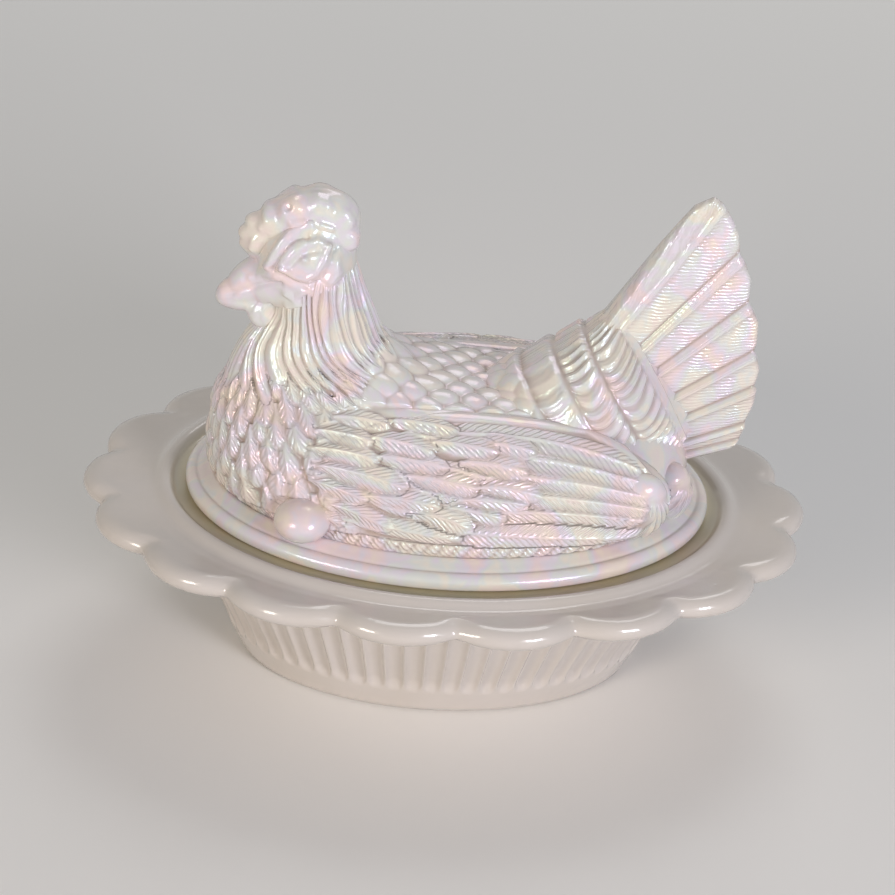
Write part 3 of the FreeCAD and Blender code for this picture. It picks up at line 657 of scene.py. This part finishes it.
def saddle_grid(rows=196, columns=500):
    """Ovals round a tilted axis, with bands of ribs.

    Inside a band the height climbs like a saw towards the tail, and the ribs are |cos|^2.2 of the place round
    the axis, bent by sin(pi t^0.8), t being the share of the band. In front of the bands lie the same puffy
    feathers as on the back.
    """
    sections = evenly(through(SADDLE_SECTIONS, 30), rows, [0, 1])
    along, side, above, below = (column[:, None] for column in sections.T)
    turn = full_turn(columns)
    upright = np.cos(turn)
    reach = np.where(upright > 0, above, below)
    local_y = side * np.sin(turn)
    local_z = reach * np.sign(upright) * np.abs(upright) ** 0.92
    slope = np.gradient(side[:, 0]) / np.maximum(np.abs(np.gradient(along[:, 0])), 0.05)
    slope = np.clip(slope, -1.6, 1.6)[:, None]
    out = np.stack([-slope * np.abs(np.sin(turn)), np.sin(turn) + 0 * along, upright * 1.1 + 0 * along], -1)
    out /= np.linalg.norm(out, axis=-1, keepdims=True)
    lower = (1 - upright) / 2
    bent = along + 5.0 * lower * smooth_step(-30, 10, along) - 2.0 * np.sin(turn) ** 2
    edges = np.array(SADDLE_BANDS)
    number = np.clip(np.searchsorted(edges, bent, side="right") - 1, 0, len(edges) - 2)
    share = np.clip((bent - edges[number]) / (edges[number + 1] - edges[number]), 0, 1)
    active = smooth_step(-8.0, -6.5, bent) * (1 - smooth_step(23.6, 25.2, bent))
    saw = 1.0 * share * (1 - smooth_step(0.80, 1.0, share))
    arch = np.sin(np.pi * share**0.8)
    from_top = np.abs(np.where(turn > np.pi, turn - TURN, turn)) + 0 * along
    crowded = from_top + 0.06 * np.sin(3 * from_top) + 0.03 * np.sin(7 * from_top + 2.0 * number)
    count = np.array(SADDLE_RIBS)[number]
    around = (crowded - 0.11 * arch * np.sin(from_top) + 0.4 * number) * count / TURN
    rib = np.abs(np.cos(around * np.pi)) ** 2.2
    ends = smooth_step(0.0, 0.12, share) * (1 - smooth_step(0.80, 1.0, share))
    off_ridge = smooth_step(0.0, 0.35, np.abs(np.sin(turn)))
    bold = np.array([0.55, 1.0, 1.0])[number] * (0.7 + 0.45 * share)
    height = active * (saw + bold * rib * ends * off_ridge)
    scales = relief_map(bent, (from_top - np.pi) * 23.0)
    for step, row in enumerate(np.arange(-24.0, -7.0, 4.1)):
        for line in np.arange(-70.0, 0.0, 10.4) + 5.2 * (step % 2):
            puff(scales, (row, line), 5.6, 5.4, 2.5)
    height = height + scales["height"] * (1 - active) * (1 - smooth_step(0.0, 4.0, bent)) - 1.2
    height = height + 0.9 * smooth_step(23.4, 24.4, bent) * (1 - smooth_step(25.6, 26.6, bent))
    local = np.stack([along + 0 * turn, local_y, local_z], -1) + out * height[..., None]
    c, s = np.cos(SADDLE_TILT), np.sin(SADDLE_TILT)
    x = local[..., 0] * c - local[..., 2] * s
    z = local[..., 0] * s + local[..., 2] * c
    grid = np.stack([x, local[..., 1], z], -1) + SADDLE_CENTRE
    # Painted shade: the glass between the saddle's ribs is darkened where the relief lies deep.
    saddle_hollow_shade = painted_hollow_shade(height, 5.0) * active
    return grid, {"barb_phase": around * 3.0, "barb_strength": 0.35 * active * ends, "painted_hollow_shade": saddle_hollow_shade}


grid, marks = saddle_grid()
closed_surface("hen_saddle_glass", grid, "lid", marks)

# %% Tail fan
FAN_CENTRE = (8.0, 58.0)
FAN_OUTLINE = [
    (60.6, 66.0), (60.4, 82.0), (60.2, 95.0), (59.6, 108.0), (58.2, 112.7), (56.5, 112.6), (54.0, 110.8),
    (51.3, 108.3), (49.6, 105.6), (48.9, 104.6), (47.6, 104.2), (44.2, 101.9), (41.7, 98.2), (41.0, 97.2),
    (40.1, 97.2), (36.7, 96.1), (33.2, 92.6), (32.1, 90.9), (31.4, 91.1), (28.0, 90.0), (25.6, 87.5),
    (25.0, 86.8), (24.4, 87.3), (21.4, 85.2), (18.6, 82.2), (17.6, 81.4), (17.0, 81.4), (14.0, 79.0),
    (12.6, 76.6), (11.4, 72.0), (11.0, 68.0),
]
FAN_EDGES = [61.0, 49.3, 41.2, 32.3, 25.2, 17.8, 14.2, 10.0]
FAN_SHAFTS = [56.2, 47.9, 39.9, 31.2, 24.3, 17.3, 13.2]
FAN_ROOT = 34.0
FAN_TOP, FAN_END = 61.0, 10.6
FRONT_BARB_LEAN = np.radians(70.0)


def tail_grid(rows=250, run=182):
    """Fan between two angles: out along one face to the lobed outline, round the thin edge and back.

    A row is one angle. Its loop goes from the root to the outline on the near face and returns on the far
    face, so the fan is closed all round. The half thickness falls from the root to the feather tips.
    """
    angle = np.linspace(FAN_TOP, FAN_END, rows)
    table = np.array(FAN_OUTLINE, float)[::-1]
    reach = np.interp(angle, table[:, 0], table[:, 1])[:, None]
    tip_share = 0.985 + 0.015 * np.sin(np.linspace(0.2, np.pi / 2, 6))
    share = np.concatenate([np.linspace(0.0, 0.985, run - 6), tip_share])
    radius = FAN_ROOT + (reach - FAN_ROOT) * share[None, :]
    turn = np.radians(angle)[:, None] + 0 * radius
    x = FAN_CENTRE[0] + radius * np.cos(turn)
    z = FAN_CENTRE[1] + radius * np.sin(turn)
    half = 5.6 * (1 - share[None, :] ** 1.4) + 1.5 + 0 * turn
    rim = np.sqrt(np.clip(1 - ((share - 0.975) / 0.025).clip(0, 1) ** 2, 0, 1))[None, :]
    from_side = np.minimum(np.abs(angle - FAN_TOP), np.abs(angle - FAN_END))
    sides = smooth_step(0.0, 1.0, from_side / 1.6)[:, None] ** 0.5
    feather_number = np.clip(np.searchsorted(-np.array(FAN_EDGES), -angle, side="right") - 1, 0, 6)
    upper = np.array(FAN_EDGES)[feather_number][:, None]
    lower = np.array(FAN_EDGES)[feather_number + 1][:, None]
    shaft = np.array(FAN_SHAFTS)[feather_number][:, None]
    off = np.radians(angle[:, None] - shaft) * radius
    edge = np.minimum(np.radians(upper - angle[:, None]), np.radians(angle[:, None] - lower)) * radius
    vane = (angle[:, None] - lower) / (upper - lower)
    from_upper = np.radians(upper - angle[:, None]) * radius
    height = 0.75 * vane + 1.15 * bell(off, 0.85) - 0.75 * bell(off, 0.32)
    height = height + 0.35 * smooth_step(0.0, 1.2, edge) + 0.5 * bell(from_upper - 0.9, 0.6)
    front = (off > 0) & (feather_number[:, None] == 0)
    wavy = 0.4 * np.sin(0.31 * x + 0.23 * z) + 0.3 * np.sin(0.83 * x - 0.37 * z + feather_number[:, None])
    steep = (x * np.sin(FRONT_BARB_LEAN) - z * np.cos(FRONT_BARB_LEAN)) / 2.1 + 0.3 * wavy
    level = (z + (0.16 - 0.045 * feather_number[:, None]) * x - 0.016 * off * off + 0.5 * wavy) / 1.15
    phase = np.where(front, steep, level)
    strength = np.where(front, 0.8, np.where(off > 0, 0.15, 0.42 + 0.3 * wavy))
    strength = strength * smooth_step(0.7, 1.2, np.abs(off)) * smooth_step(0.15, 0.6, edge)
    strength = strength * smooth_step(0.25, 0.4, share)[None, :]
    half = (half + height * 0.8 - 0.8) * rim * sides
    near = np.stack([x, -half, z], -1)
    far = np.stack([x, half, z], -1)[:, ::-1]
    loop = np.concatenate([near, far], axis=1)
    # Painted shade: the fan's glass is darkened where its relief lies deep.
    marks = {"barb_phase": phase, "barb_strength": strength, "painted_hollow_shade": painted_hollow_shade(height + 0 * x, 4.0)}
    marks = {key: np.concatenate([values, values[:, ::-1]], axis=1) for key, values in marks.items()}
    ends = [np.repeat(loop[k].mean(0)[None], loop.shape[1], 0)[None] for k in (0, -1)]
    grid = np.concatenate([ends[0], loop, ends[1]])
    return grid, {key: np.concatenate([v[:1], v, v[-1:]]) for key, v in marks.items()}


grid, marks = tail_grid()
closed_surface("hen_tail_fan_glass", grid, "lid", marks)

# %% [markdown]
# ## Head, comb and egg
# These are lumps that run into each other, as if modelled in clay. Each is seen from one point inside it: in
# every direction the skin lies at a soft maximum of the ways out of a few ellipsoids. Folds such as the brows
# and eyelids are strokes, ridges along short curved lines.

# %% Lumps from ellipsoids


def sphere_ways(rows, columns, axis="z"):
    """Unit directions by latitude and longitude round an axis."""
    latitude = np.linspace(0.0, np.pi, rows)[:, None]
    longitude = full_turn(columns)
    a = np.cos(latitude) + 0 * longitude
    b = np.sin(latitude) * np.cos(longitude)
    c = np.sin(latitude) * np.sin(longitude)
    return np.stack({"z": (b, c, a), "y": (b, a, c), "x": (a, b, c)}[axis], -1)


def lump(middle, ways, parts, soft):
    """Skin seen from a middle point: soft * log(sum(exp(way out / soft))) over all ellipsoids.

    Each part is a centre, three half sizes and a tilt in degrees that raises its end towards the tail.
    """
    total = np.zeros(ways.shape[:2])
    for centre, half_sizes, tilt in parts:
        c, s = np.cos(np.radians(tilt)), np.sin(np.radians(tilt))
        scaled = np.array([[c, 0, s], [0, 1, 0], [-s, 0, c]]) / np.asarray(half_sizes, float)[:, None]
        out = way_out((np.asarray(middle, float) - centre) @ scaled.T, ways @ scaled.T, -30.0)
        total = total + np.exp(np.clip(out, -30, 60) / soft)
    return np.asarray(middle, float) + ways * (soft * np.log(total))[..., None]


def stroke(grid, points, width, height):
    """Ridge along a line on both flanks: height * exp(-(distance / width)^2), distance taken in side view."""
    line = np.reshape(points, (-1, 2))
    gap = np.full(grid.shape[:2], 1e9)
    for start, end in zip(line[:-1], line[1:]):
        way = end - start
        share = ((grid[..., 0] - start[0]) * way[0] + (grid[..., 2] - start[1]) * way[1]) / (way @ way)
        share = np.clip(share, 0, 1)
        sideways = grid[..., 0] - start[0] - share * way[0]
        upwards = grid[..., 2] - start[1] - share * way[1]
        gap = np.minimum(gap, np.hypot(sideways, upwards))
    return height * bell(gap, width)


# %% Head with beak, brows, eyes, cheeks and wattles
HEAD_MIDDLE = (-46.0, 0.0, 127.0)
HEAD_PARTS = [
    ((-45.4, 0, 128.6), (14.2, 12.3, 14.6), 0),
    ((-52.6, 0, 121.4), (10.6, 8.0, 7.8), 20.0),
    ((-46.2, -7.6, 131.6), (6.8, 4.6, 5.4), 26.0),
    ((-46.2, 7.6, 131.6), (6.8, 4.6, 5.4), 26.0),
    ((-46.0, 0, 119.0), (9.5, 10.6, 7.5), 0),
    ((-60.2, 0, 120.0), (10.4, 5.2, 6.3), 48.0),
    ((-65.3, 0, 116.8), (5.7, 3.4, 3.9), 35.0),
    ((-60.6, 0, 114.8), (7.2, 4.6, 3.2), 4.0),
    ((-56.6, -3.3, 111.8), (4.6, 3.4, 4.6), 0),
    ((-56.6, 3.3, 111.8), (4.6, 3.4, 4.6), 0),
]
# Each stroke: x, z, x, z and so on in side view, its width, and how far it stands out (in, where negative).
FACE_STROKES = [
    ([-51.9, 129.7, -50.7, 132.5, -48.7, 135.2, -45.7, 137.2, -42.7, 137.8, -39.8, 136.0], 1.0, 1.0),
    ([-51.7, 129.5, -48.4, 127.9, -45.2, 127.4, -42.6, 129.2, -40.7, 132.8, -39.8, 136.0], 1.05, 0.95),
    ([-51.4, 127.5, -47.6, 125.5, -44.5, 125.0, -41.0, 126.7, -38.7, 131.1, -37.9, 135.3], 0.95, -0.9),
    ([-50.4, 130.9, -48.4, 133.3, -45.2, 135.5, -41.8, 136.0], 0.9, -0.7),
    ([-55.8, 128.6, -54.4, 132.6, -52.5, 135.9, -50.4, 138.6, -48.0, 140.1, -44.9, 140.6], 1.2, 1.5),
    ([-54.4, 128.8, -52.8, 132.9, -51.1, 135.9, -48.9, 138.0, -45.5, 138.8], 0.6, -0.7),
    ([-53.3, 129.6, -52.0, 132.9, -49.9, 135.9, -46.8, 137.9], 0.8, 0.7),
    ([-37.9, 131.8, -37.2, 128.5, -38.6, 126.4], 1.9, 1.3),
    ([-45.5, 141.0, -42.1, 140.3, -38.6, 139.2, -36.2, 138.0], 1.3, 1.2),
    ([-50.6, 121.6, -48.1, 120.4, -46.1, 122.6, -44.0, 124.3], 1.1, 0.9),
    ([-50.0, 118.0, -43.2, 120.6, -36.2, 119.7, -34.2, 121.2], 1.1, 1.1),
    ([-43.3, 122.5, -39.9, 123.9, -35.3, 123.1], 1.0, 0.9),
    ([-54.0, 126.4, -57.6, 125.6, -60.4, 123.6], 1.3, 0.7),
    ([-58.4, 114.4, -58.0, 110.4], 0.7, -0.6),
    ([-55.2, 115.6, -54.8, 111.0], 0.7, -0.6),
    ([-46.3, 133.5, -46.0, 133.3], 1.2, 1.2),
]
MOUTH = [-67.5, 116.9, -61.8, 119.8, -58.8, 121.6, -55.4, 123.4, -52.6, 124.4]


def with_strokes(grid, middle, strokes, fade):
    """Grid moved away from a middle point by the sum of all strokes, which fade in between two |y|."""
    ways = grid - np.array(middle)
    ways /= np.linalg.norm(ways, axis=-1, keepdims=True)
    carved = sum(stroke(grid, points, width, height) for points, width, height in strokes)
    return grid + ways * (carved * smooth_step(fade[0], fade[1], np.abs(grid[..., 1])))[..., None]


head = lump(HEAD_MIDDLE, sphere_ways(256, 384, "y"), HEAD_PARTS, 1.0)
head = with_strokes(head, HEAD_MIDDLE, FACE_STROKES, (2.5, 5.0))
head = with_strokes(head, HEAD_MIDDLE, [(MOUTH, 0.8, -0.9)], (0.8, 2.2))
closed_surface("hen_head_glass", head, "lid")

# %% Comb: a cap with soft lobes along its border
COMB_MIDDLE = (-47.0, 0.0, 136.5)
COMB_PARTS = [
    ((-45.4, 0, 138.9), (14.8, 7.8, 10.4), 18.0),
    ((-57.2, 0, 134.0), (6.6, 4.8, 7.6), -10.0),
    ((-37.6, 0, 136.4), (6.2, 7.0, 7.4), 0),
]
# Lobes on both flanks, and the small bumps down its front, each as a short soft stroke.
COMB_LOBES = [
    ([-59.6, 132.6, -59.2, 134.4], 1.9, 1.5), ([-57.0, 138.6, -56.2, 140.2], 2.0, 1.6),
    ([-51.2, 144.0, -49.6, 145.4], 2.5, 2.0), ([-43.2, 146.6, -41.6, 146.2], 2.6, 2.0),
    ([-36.2, 143.8, -35.0, 142.0], 2.3, 1.8), ([-33.0, 137.4, -33.0, 135.0], 2.0, 1.5),
    ([-49.6, 141.2, -46.8, 142.0], 1.2, 0.9), ([-42.6, 141.4, -39.6, 140.4], 1.3, 1.1),
    ([-50.9, 144.7, -50.5, 144.9], 0.8, -0.9),
]
COMB_FRONT = [([-64.8, 131.0, -64.6, 131.4], 1.7, 1.2), ([-64.2, 135.4, -64.0, 135.8], 1.7, 1.2),
              ([-61.6, 139.6, -61.3, 140.0], 1.7, 1.2), ([-57.4, 143.4, -57.0, 143.8], 1.8, 1.1)]
comb = lump(COMB_MIDDLE, sphere_ways(240, 380, "y"), COMB_PARTS, 1.0)
comb = with_strokes(comb, COMB_MIDDLE, COMB_LOBES, (0.6, 3.2))
comb = with_strokes(comb, COMB_MIDDLE, COMB_FRONT, (-2.0, -1.0))
closed_surface("hen_comb_glass", comb, "lid")

# %% Egg and the two small leaves at the tail's root
EGG_MIDDLE = (-43.0, -39.4, 65.9)
EGG_SIZES = (8.0, 8.0, 6.0)
egg = lump(EGG_MIDDLE, sphere_ways(80, 140), [(EGG_MIDDLE, EGG_SIZES, 0.0)], 0.2)
closed_surface("nest_egg_glass", egg, "lid")
# Each leaf: its middle, half sizes, tilt, and the way along the rim there, which its fibres spread over.
LEAVES = [
    ((52.2, 32.4, 71.6), (8.4, 5.2, 10.2), -8.0, (0.80, 0.60)),
    ((63.4, 17.2, 67.6), (6.2, 5.8, 9.0), -8.0, (0.49, 0.87)),
]


def leaf_grid(side, place, sizes, tilt, rim_way):
    """A round cap over a skirt of fibres.

    The fibres fan out from a point 11 mm above the middle: below the cap the skin moves by
    0.7 * (|sin(23 fan)| - 1/2), fan being the angle at that point. A groove of 0.3 mm runs under the cap, and
    the glass in it is painted darker as shade.
    """
    middle = np.array([place[0], side * place[1], place[2]])
    cap = middle + [-0.6, side * 0.2, 5.6]
    ways = sphere_ways(110, 180)
    parts = [(middle, sizes, tilt), (cap, [0.62 * sizes[0], 0.8 * sizes[1], 0.36 * sizes[2]], 12.0)]
    leaf = lump(middle, ways, parts, 0.9)
    from_middle = leaf - middle
    rise = from_middle[..., 2]
    fan = np.arctan2(from_middle[..., 0] * rim_way[0] - side * from_middle[..., 1] * rim_way[1], 11.0 - rise)
    skirt = 1 - smooth_step(-1.0, 4.5, rise)
    ripple = 0.7 * (np.abs(np.sin(23.0 * fan)) - 0.5) * skirt
    groove = 0.3 * bell(rise - 3.8, 1.3)
    # The groove is also painted darker: painted shade.
    marks = {"barb_phase": 14.6 * fan, "barb_strength": 0.9 * skirt, "painted_hollow_shade": groove}
    return leaf + ways * (ripple - groove)[..., None], marks


for side, label in ((-1, "near"), (1, "far")):
    for number, leaf in enumerate(LEAVES, start=1):
        grid, marks = leaf_grid(side, *leaf)
        closed_surface("tail_leaf_%s_%d_glass" % (label, number), grid, "lid", marks)

# %% [markdown]
# ## Glass
# Milk glass is soda-lime glass made opaque with fluorides: a dense white body under a fire-polished skin, so
# it looks like wet porcelain. Tin salts sprayed on the hot hen leave a film some hundred nanometres thick, and
# interference in the film gives the pink, lavender, mint and yellow sheen. Here the sheen is a thin film in
# the shader and is also painted into the hen's colour as pastel tints, and hollows are painted darker as
# shade.
# Noise scales count features per metre: body tints of 36 mm, sheen clouds of 16 mm, a polished ripple of 8 mm,
# barbs that waver over 2.4 mm, and a crinkle of 1.1 mm in the film. The real crinkle is finer, and is drawn as
# coarse as it has to be to show.

# %% Colours and helpers for shader nodes


def linear(code, alpha=1.0):
    """sRGB hex code to linear colour: ((c + 0.055) / 1.055)^2.4 above 0.04045, c / 12.92 below."""
    parts = np.array([int(code[k:k + 2], 16) for k in (1, 3, 5)]) / 255.0
    parts = np.where(parts > 0.04045, ((parts + 0.055) / 1.055) ** 2.4, parts / 12.92)
    return (*parts.tolist(), alpha)


def fill(tree, node, inputs):
    """Set a node's inputs, each to a fixed value or to another node's output."""
    for key, value in inputs.items():
        if isinstance(value, bpy.types.NodeSocket):
            tree.links.new(value, node.inputs[key])
        else:
            node.inputs[key].default_value = value


def add_node(tree, kind, inputs, output=0, **settings):
    """One output of a new shader node. Its settings are the node's own properties."""
    node = tree.nodes.new("ShaderNode" + kind)
    for key, value in settings.items():
        setattr(node, key, value)
    fill(tree, node, inputs)
    return node.outputs[output]


def arithmetic(tree, operation, *values):
    """One step of arithmetic on fixed values and other nodes' outputs."""
    return add_node(tree, "Math", dict(enumerate(values)), operation=operation)


def noise(tree, place, scale, detail, roughness=0.5, distortion=0.0):
    """Soft random value for each place, its scale in features per metre."""
    look = {"Scale": scale, "Detail": detail, "Roughness": roughness, "Distortion": distortion}
    return add_node(tree, "TexNoise", {"Vector": place, **look}, "Fac")


def blend(tree, factor, a, b, kind="MIX"):
    """Colour on the way from a to b."""
    colours = {"Factor": factor, "A": a, "B": b}
    return add_node(tree, "Mix", colours, "Result", data_type="RGBA", blend_type=kind)


def read_mark(tree, name):
    """The number per point that a surface keeps under a name."""
    return add_node(tree, "Attribute", {}, "Fac", attribute_name=name)


def carve(tree, height, strength, depth, below=None):
    """Normal bent by a height, on top of another bend where there is one."""
    relief = {"Strength": strength, "Distance": depth, "Height": height}
    if below is not None:
        relief["Normal"] = below
    return add_node(tree, "Bump", relief, "Normal")


def milk_glass(name, body_code, warm_code, film, barb_depth):
    """Opaque pearl-white glass: a body with broad faint tints, a clear coat, and a thin film of tin oxide.
    Painted shade darkens hollows and the dish's seat, and the film's sheen is also painted in as pastel tints.
    """
    material = bpy.data.materials.new(name)
    material.use_nodes = True
    tree = material.node_tree
    shader = tree.nodes["Principled BSDF"]
    roughness = 0.24 if film else 0.2
    fill(tree, shader, {"Roughness": roughness, "IOR": 1.5, "Coat Weight": 0.6, "Coat Roughness": 0.05})
    place = add_node(tree, "TexCoord", {}, "Object")
    colour = blend(tree, noise(tree, place, 28.0, 2.0, 0.5, 0.4), linear(body_code), linear(warm_code))
    if film:
        # Painted sheen: the film's pastel sheen is also painted into the colour, as tints from the clouds that
        # set the film's thickness.
        sheen_clouds = noise(tree, place, 62.0, 3.0, 0.6, 0.3)
        painted_sheen_tint = add_node(tree, "ValToRGB", {"Fac": sheen_clouds}, "Color")
        ramp = painted_sheen_tint.node.color_ramp
        stops = [
            (0.32, "#fdeeda"), (0.41, "#f7e0e8"), (0.47, "#e3e3f6"), (0.53, "#e0f1e7"), (0.59, "#f9f4da"),
            (0.68, "#fbe5dc"),
        ]
        ramp.elements[0].position, ramp.elements[0].color = stops[0][0], linear(stops[0][1])
        ramp.elements[1].position, ramp.elements[1].color = stops[-1][0], linear(stops[-1][1])
        for position, code in stops[1:-1]:
            ramp.elements.new(position).color = linear(code)
        colour = blend(tree, 0.55, colour, painted_sheen_tint, "MULTIPLY")
        # Painted shade: the hen's glass is darkened towards a warm grey where it lies deep under its
        # surroundings.
        colour = blend(tree, read_mark(tree, "painted_hollow_shade"), colour, linear("#b9aaa0"))
        nanometres = {"From Min": 0.3, "From Max": 0.7, "To Min": 290.0, "To Max": 440.0}
        thickness = add_node(tree, "MapRange", {"Value": sheen_clouds, **nanometres}, "Result")
        fill(tree, shader, {"Thin Film Thickness": thickness, "Thin Film IOR": 1.6})
    else:
        # Painted shade: the dish is darkened to an olive tone in the seat round the lid's rim.
        colour = blend(tree, read_mark(tree, "painted_seat_shade"), colour, linear("#c0b596"))
    normal = coat_normal = carve(tree, noise(tree, place, 130.0, 2.0), 0.25, 0.0006)
    if barb_depth:
        wander = noise(tree, place, 420.0, 1.0)
        turns = arithmetic(tree, "MULTIPLY_ADD", wander, 0.7, read_mark(tree, "barb_phase"))
        wave = arithmetic(tree, "SINE", arithmetic(tree, "MULTIPLY", turns, TURN))
        barbs = arithmetic(tree, "MULTIPLY", wave, read_mark(tree, "barb_strength"))
        normal = carve(tree, barbs, 1.0, barb_depth, normal)
        coat_normal = carve(tree, noise(tree, place, 900.0, 2.0), 0.7, 0.00015, normal)
    fill(tree, shader, {"Base Color": colour, "Normal": normal, "Coat Normal": coat_normal})
    return material


# The dish's glass is a cream, darkened further as painted shade, so its flange reads darker than the hen.
dish_glass = milk_glass("milk_glass_fire_polished", "#cbc2b7", "#d2cbc6", False, 0)
hen_glass = milk_glass("milk_glass_tin_sprayed", "#ebe5df", "#e8e2e2", True, 0.00013)
for thing in list(bpy.data.objects):
    if thing.type == "MESH" and thing.get("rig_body") and not thing.get("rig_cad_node"):
        thing.data.materials.clear()
        thing.data.materials.append(dish_glass if thing is dish else hen_glass)
for node in frame["nodes"].values():
    node.data.materials.clear()
    node.data.materials.append(dish_glass if node.name == "nest_dish" else hen_glass)

# %% [markdown]
# ## Table, light and camera
# The floor is a pale matt sheet. Further out it fades, for the camera alone, into the plain grey that the
# world shows to camera and glossy rays. Two soft windows light the front from left and right, and a weak lamp
# stands behind. The camera was fitted to the scallop notches, the rim and the foot.

# %% Floor, world and lamps


def sheet(name, half_size, height):
    """Flat square that faces up."""
    mesh = bpy.data.meshes.new(name)
    corners = [(sx * half_size, sy * half_size, height) for sx, sy in ((-1, -1), (1, -1), (1, 1), (-1, 1))]
    mesh.from_pydata(corners, [], [(0, 1, 2, 3)])
    thing = bpy.data.objects.new(name, mesh)
    bpy.context.scene.collection.objects.link(thing)
    return thing


BACKDROP = "#d6d5d2"
floor = sheet("floor", 6.0, 0.0)
floor_material = bpy.data.materials.new("pale_matt_board")
floor_material.use_nodes = True
floor.data.materials.append(floor_material)
board = floor_material.node_tree
matt = board.nodes["Principled BSDF"]
fill(board, matt, {"Base Color": linear("#f2f0ec"), "Roughness": 0.6, "Specular IOR Level": 0.2})
floor_place = add_node(board, "TexCoord", {}, "Object")
far = add_node(board, "VectorMath", {0: floor_place}, "Value", operation="LENGTH")
distances = {"Value": far, "From Min": 0.25, "From Max": 1.3}
fade = add_node(board, "MapRange", distances, "Result", interpolation_type="SMOOTHSTEP")
by_camera = add_node(board, "LightPath", {}, "Is Camera Ray")
plain_share = arithmetic(board, "MULTIPLY", fade, by_camera)
plain_floor = add_node(board, "Emission", {"Color": linear(BACKDROP), "Strength": 1.0})
floor_mix = add_node(board, "MixShader", {0: plain_share, 1: matt.outputs[0], 2: plain_floor})
fill(board, board.nodes["Material Output"], {"Surface": floor_mix})

world = bpy.data.worlds.new("soft_studio")
bpy.context.scene.world = world
world.use_nodes = True
sky = world.node_tree
daylight = sky.nodes["Background"]
fill(sky, daylight, {"Color": linear("#c9cdd3"), "Strength": 0.34})
rays = add_node(sky, "LightPath", {}).node.outputs
straight = arithmetic(sky, "MAXIMUM", rays["Is Camera Ray"], rays["Is Transmission Ray"])
seen = arithmetic(sky, "MAXIMUM", straight, rays["Is Glossy Ray"])
plain = add_node(sky, "Background", {"Color": linear(BACKDROP), "Strength": 1.0})
mix = add_node(sky, "MixShader", {0: seen, 1: daylight.outputs[0], 2: plain})
fill(sky, sky.nodes["World Output"], {"Surface": mix})


def soft_lamp(name, place, aim, size, watts, code):
    """Square area lamp at a place in metres, turned to face its aim."""
    lamp = bpy.data.lights.new(name, "AREA")
    lamp.shape = "SQUARE"
    lamp.size = size
    lamp.energy = watts
    lamp.color = linear(code)[:3]
    thing = bpy.data.objects.new(name, lamp)
    bpy.context.scene.collection.objects.link(thing)
    way = np.asarray(aim, float) - np.asarray(place, float)
    thing.location = place
    thing.rotation_euler = Vector(way).to_track_quat("-Z", "Y").to_euler()
    return thing


soft_lamp("window_left", (-0.95, -1.10, 0.58), (0, 0, 0.07), 0.45, 9.0, "#fff3e6")
soft_lamp("window_right", (0.85, -1.20, 0.52), (0, 0, 0.07), 0.45, 12.5, "#f8f6ff")
soft_lamp("ceiling_back", (0.2, 0.7, 1.1), (0, 0, 0.08), 0.6, 3.0, "#ffffff")

# %% Camera
POSITION = np.array([-50.32, -624.58, 427.5]) * MM
RIGHT = np.array([0.9964, -0.0342, 0.0773])
UP = np.array([-0.0499, 0.5002, 0.8645])
BACK = -np.array([0.0683, 0.8652, -0.4967])
FOCAL_PIXELS = 2451.9
PHOTO_PIXELS = 895
SENSOR = 36.0
camera = bpy.data.cameras.new("photo_view")
camera.sensor_width = SENSOR
camera.sensor_fit = "HORIZONTAL"
camera.lens = FOCAL_PIXELS / PHOTO_PIXELS * SENSOR
viewer = bpy.data.objects.new("photo_view", camera)
bpy.context.scene.collection.objects.link(viewer)
axes = np.stack([RIGHT, UP, BACK], -1)
viewer.matrix_world = Matrix([list(axes[k]) + [POSITION[k]] for k in range(3)] + [[0, 0, 0, 1]])
bpy.context.scene.camera = viewer
bpy.context.scene.view_settings.view_transform = "Standard"
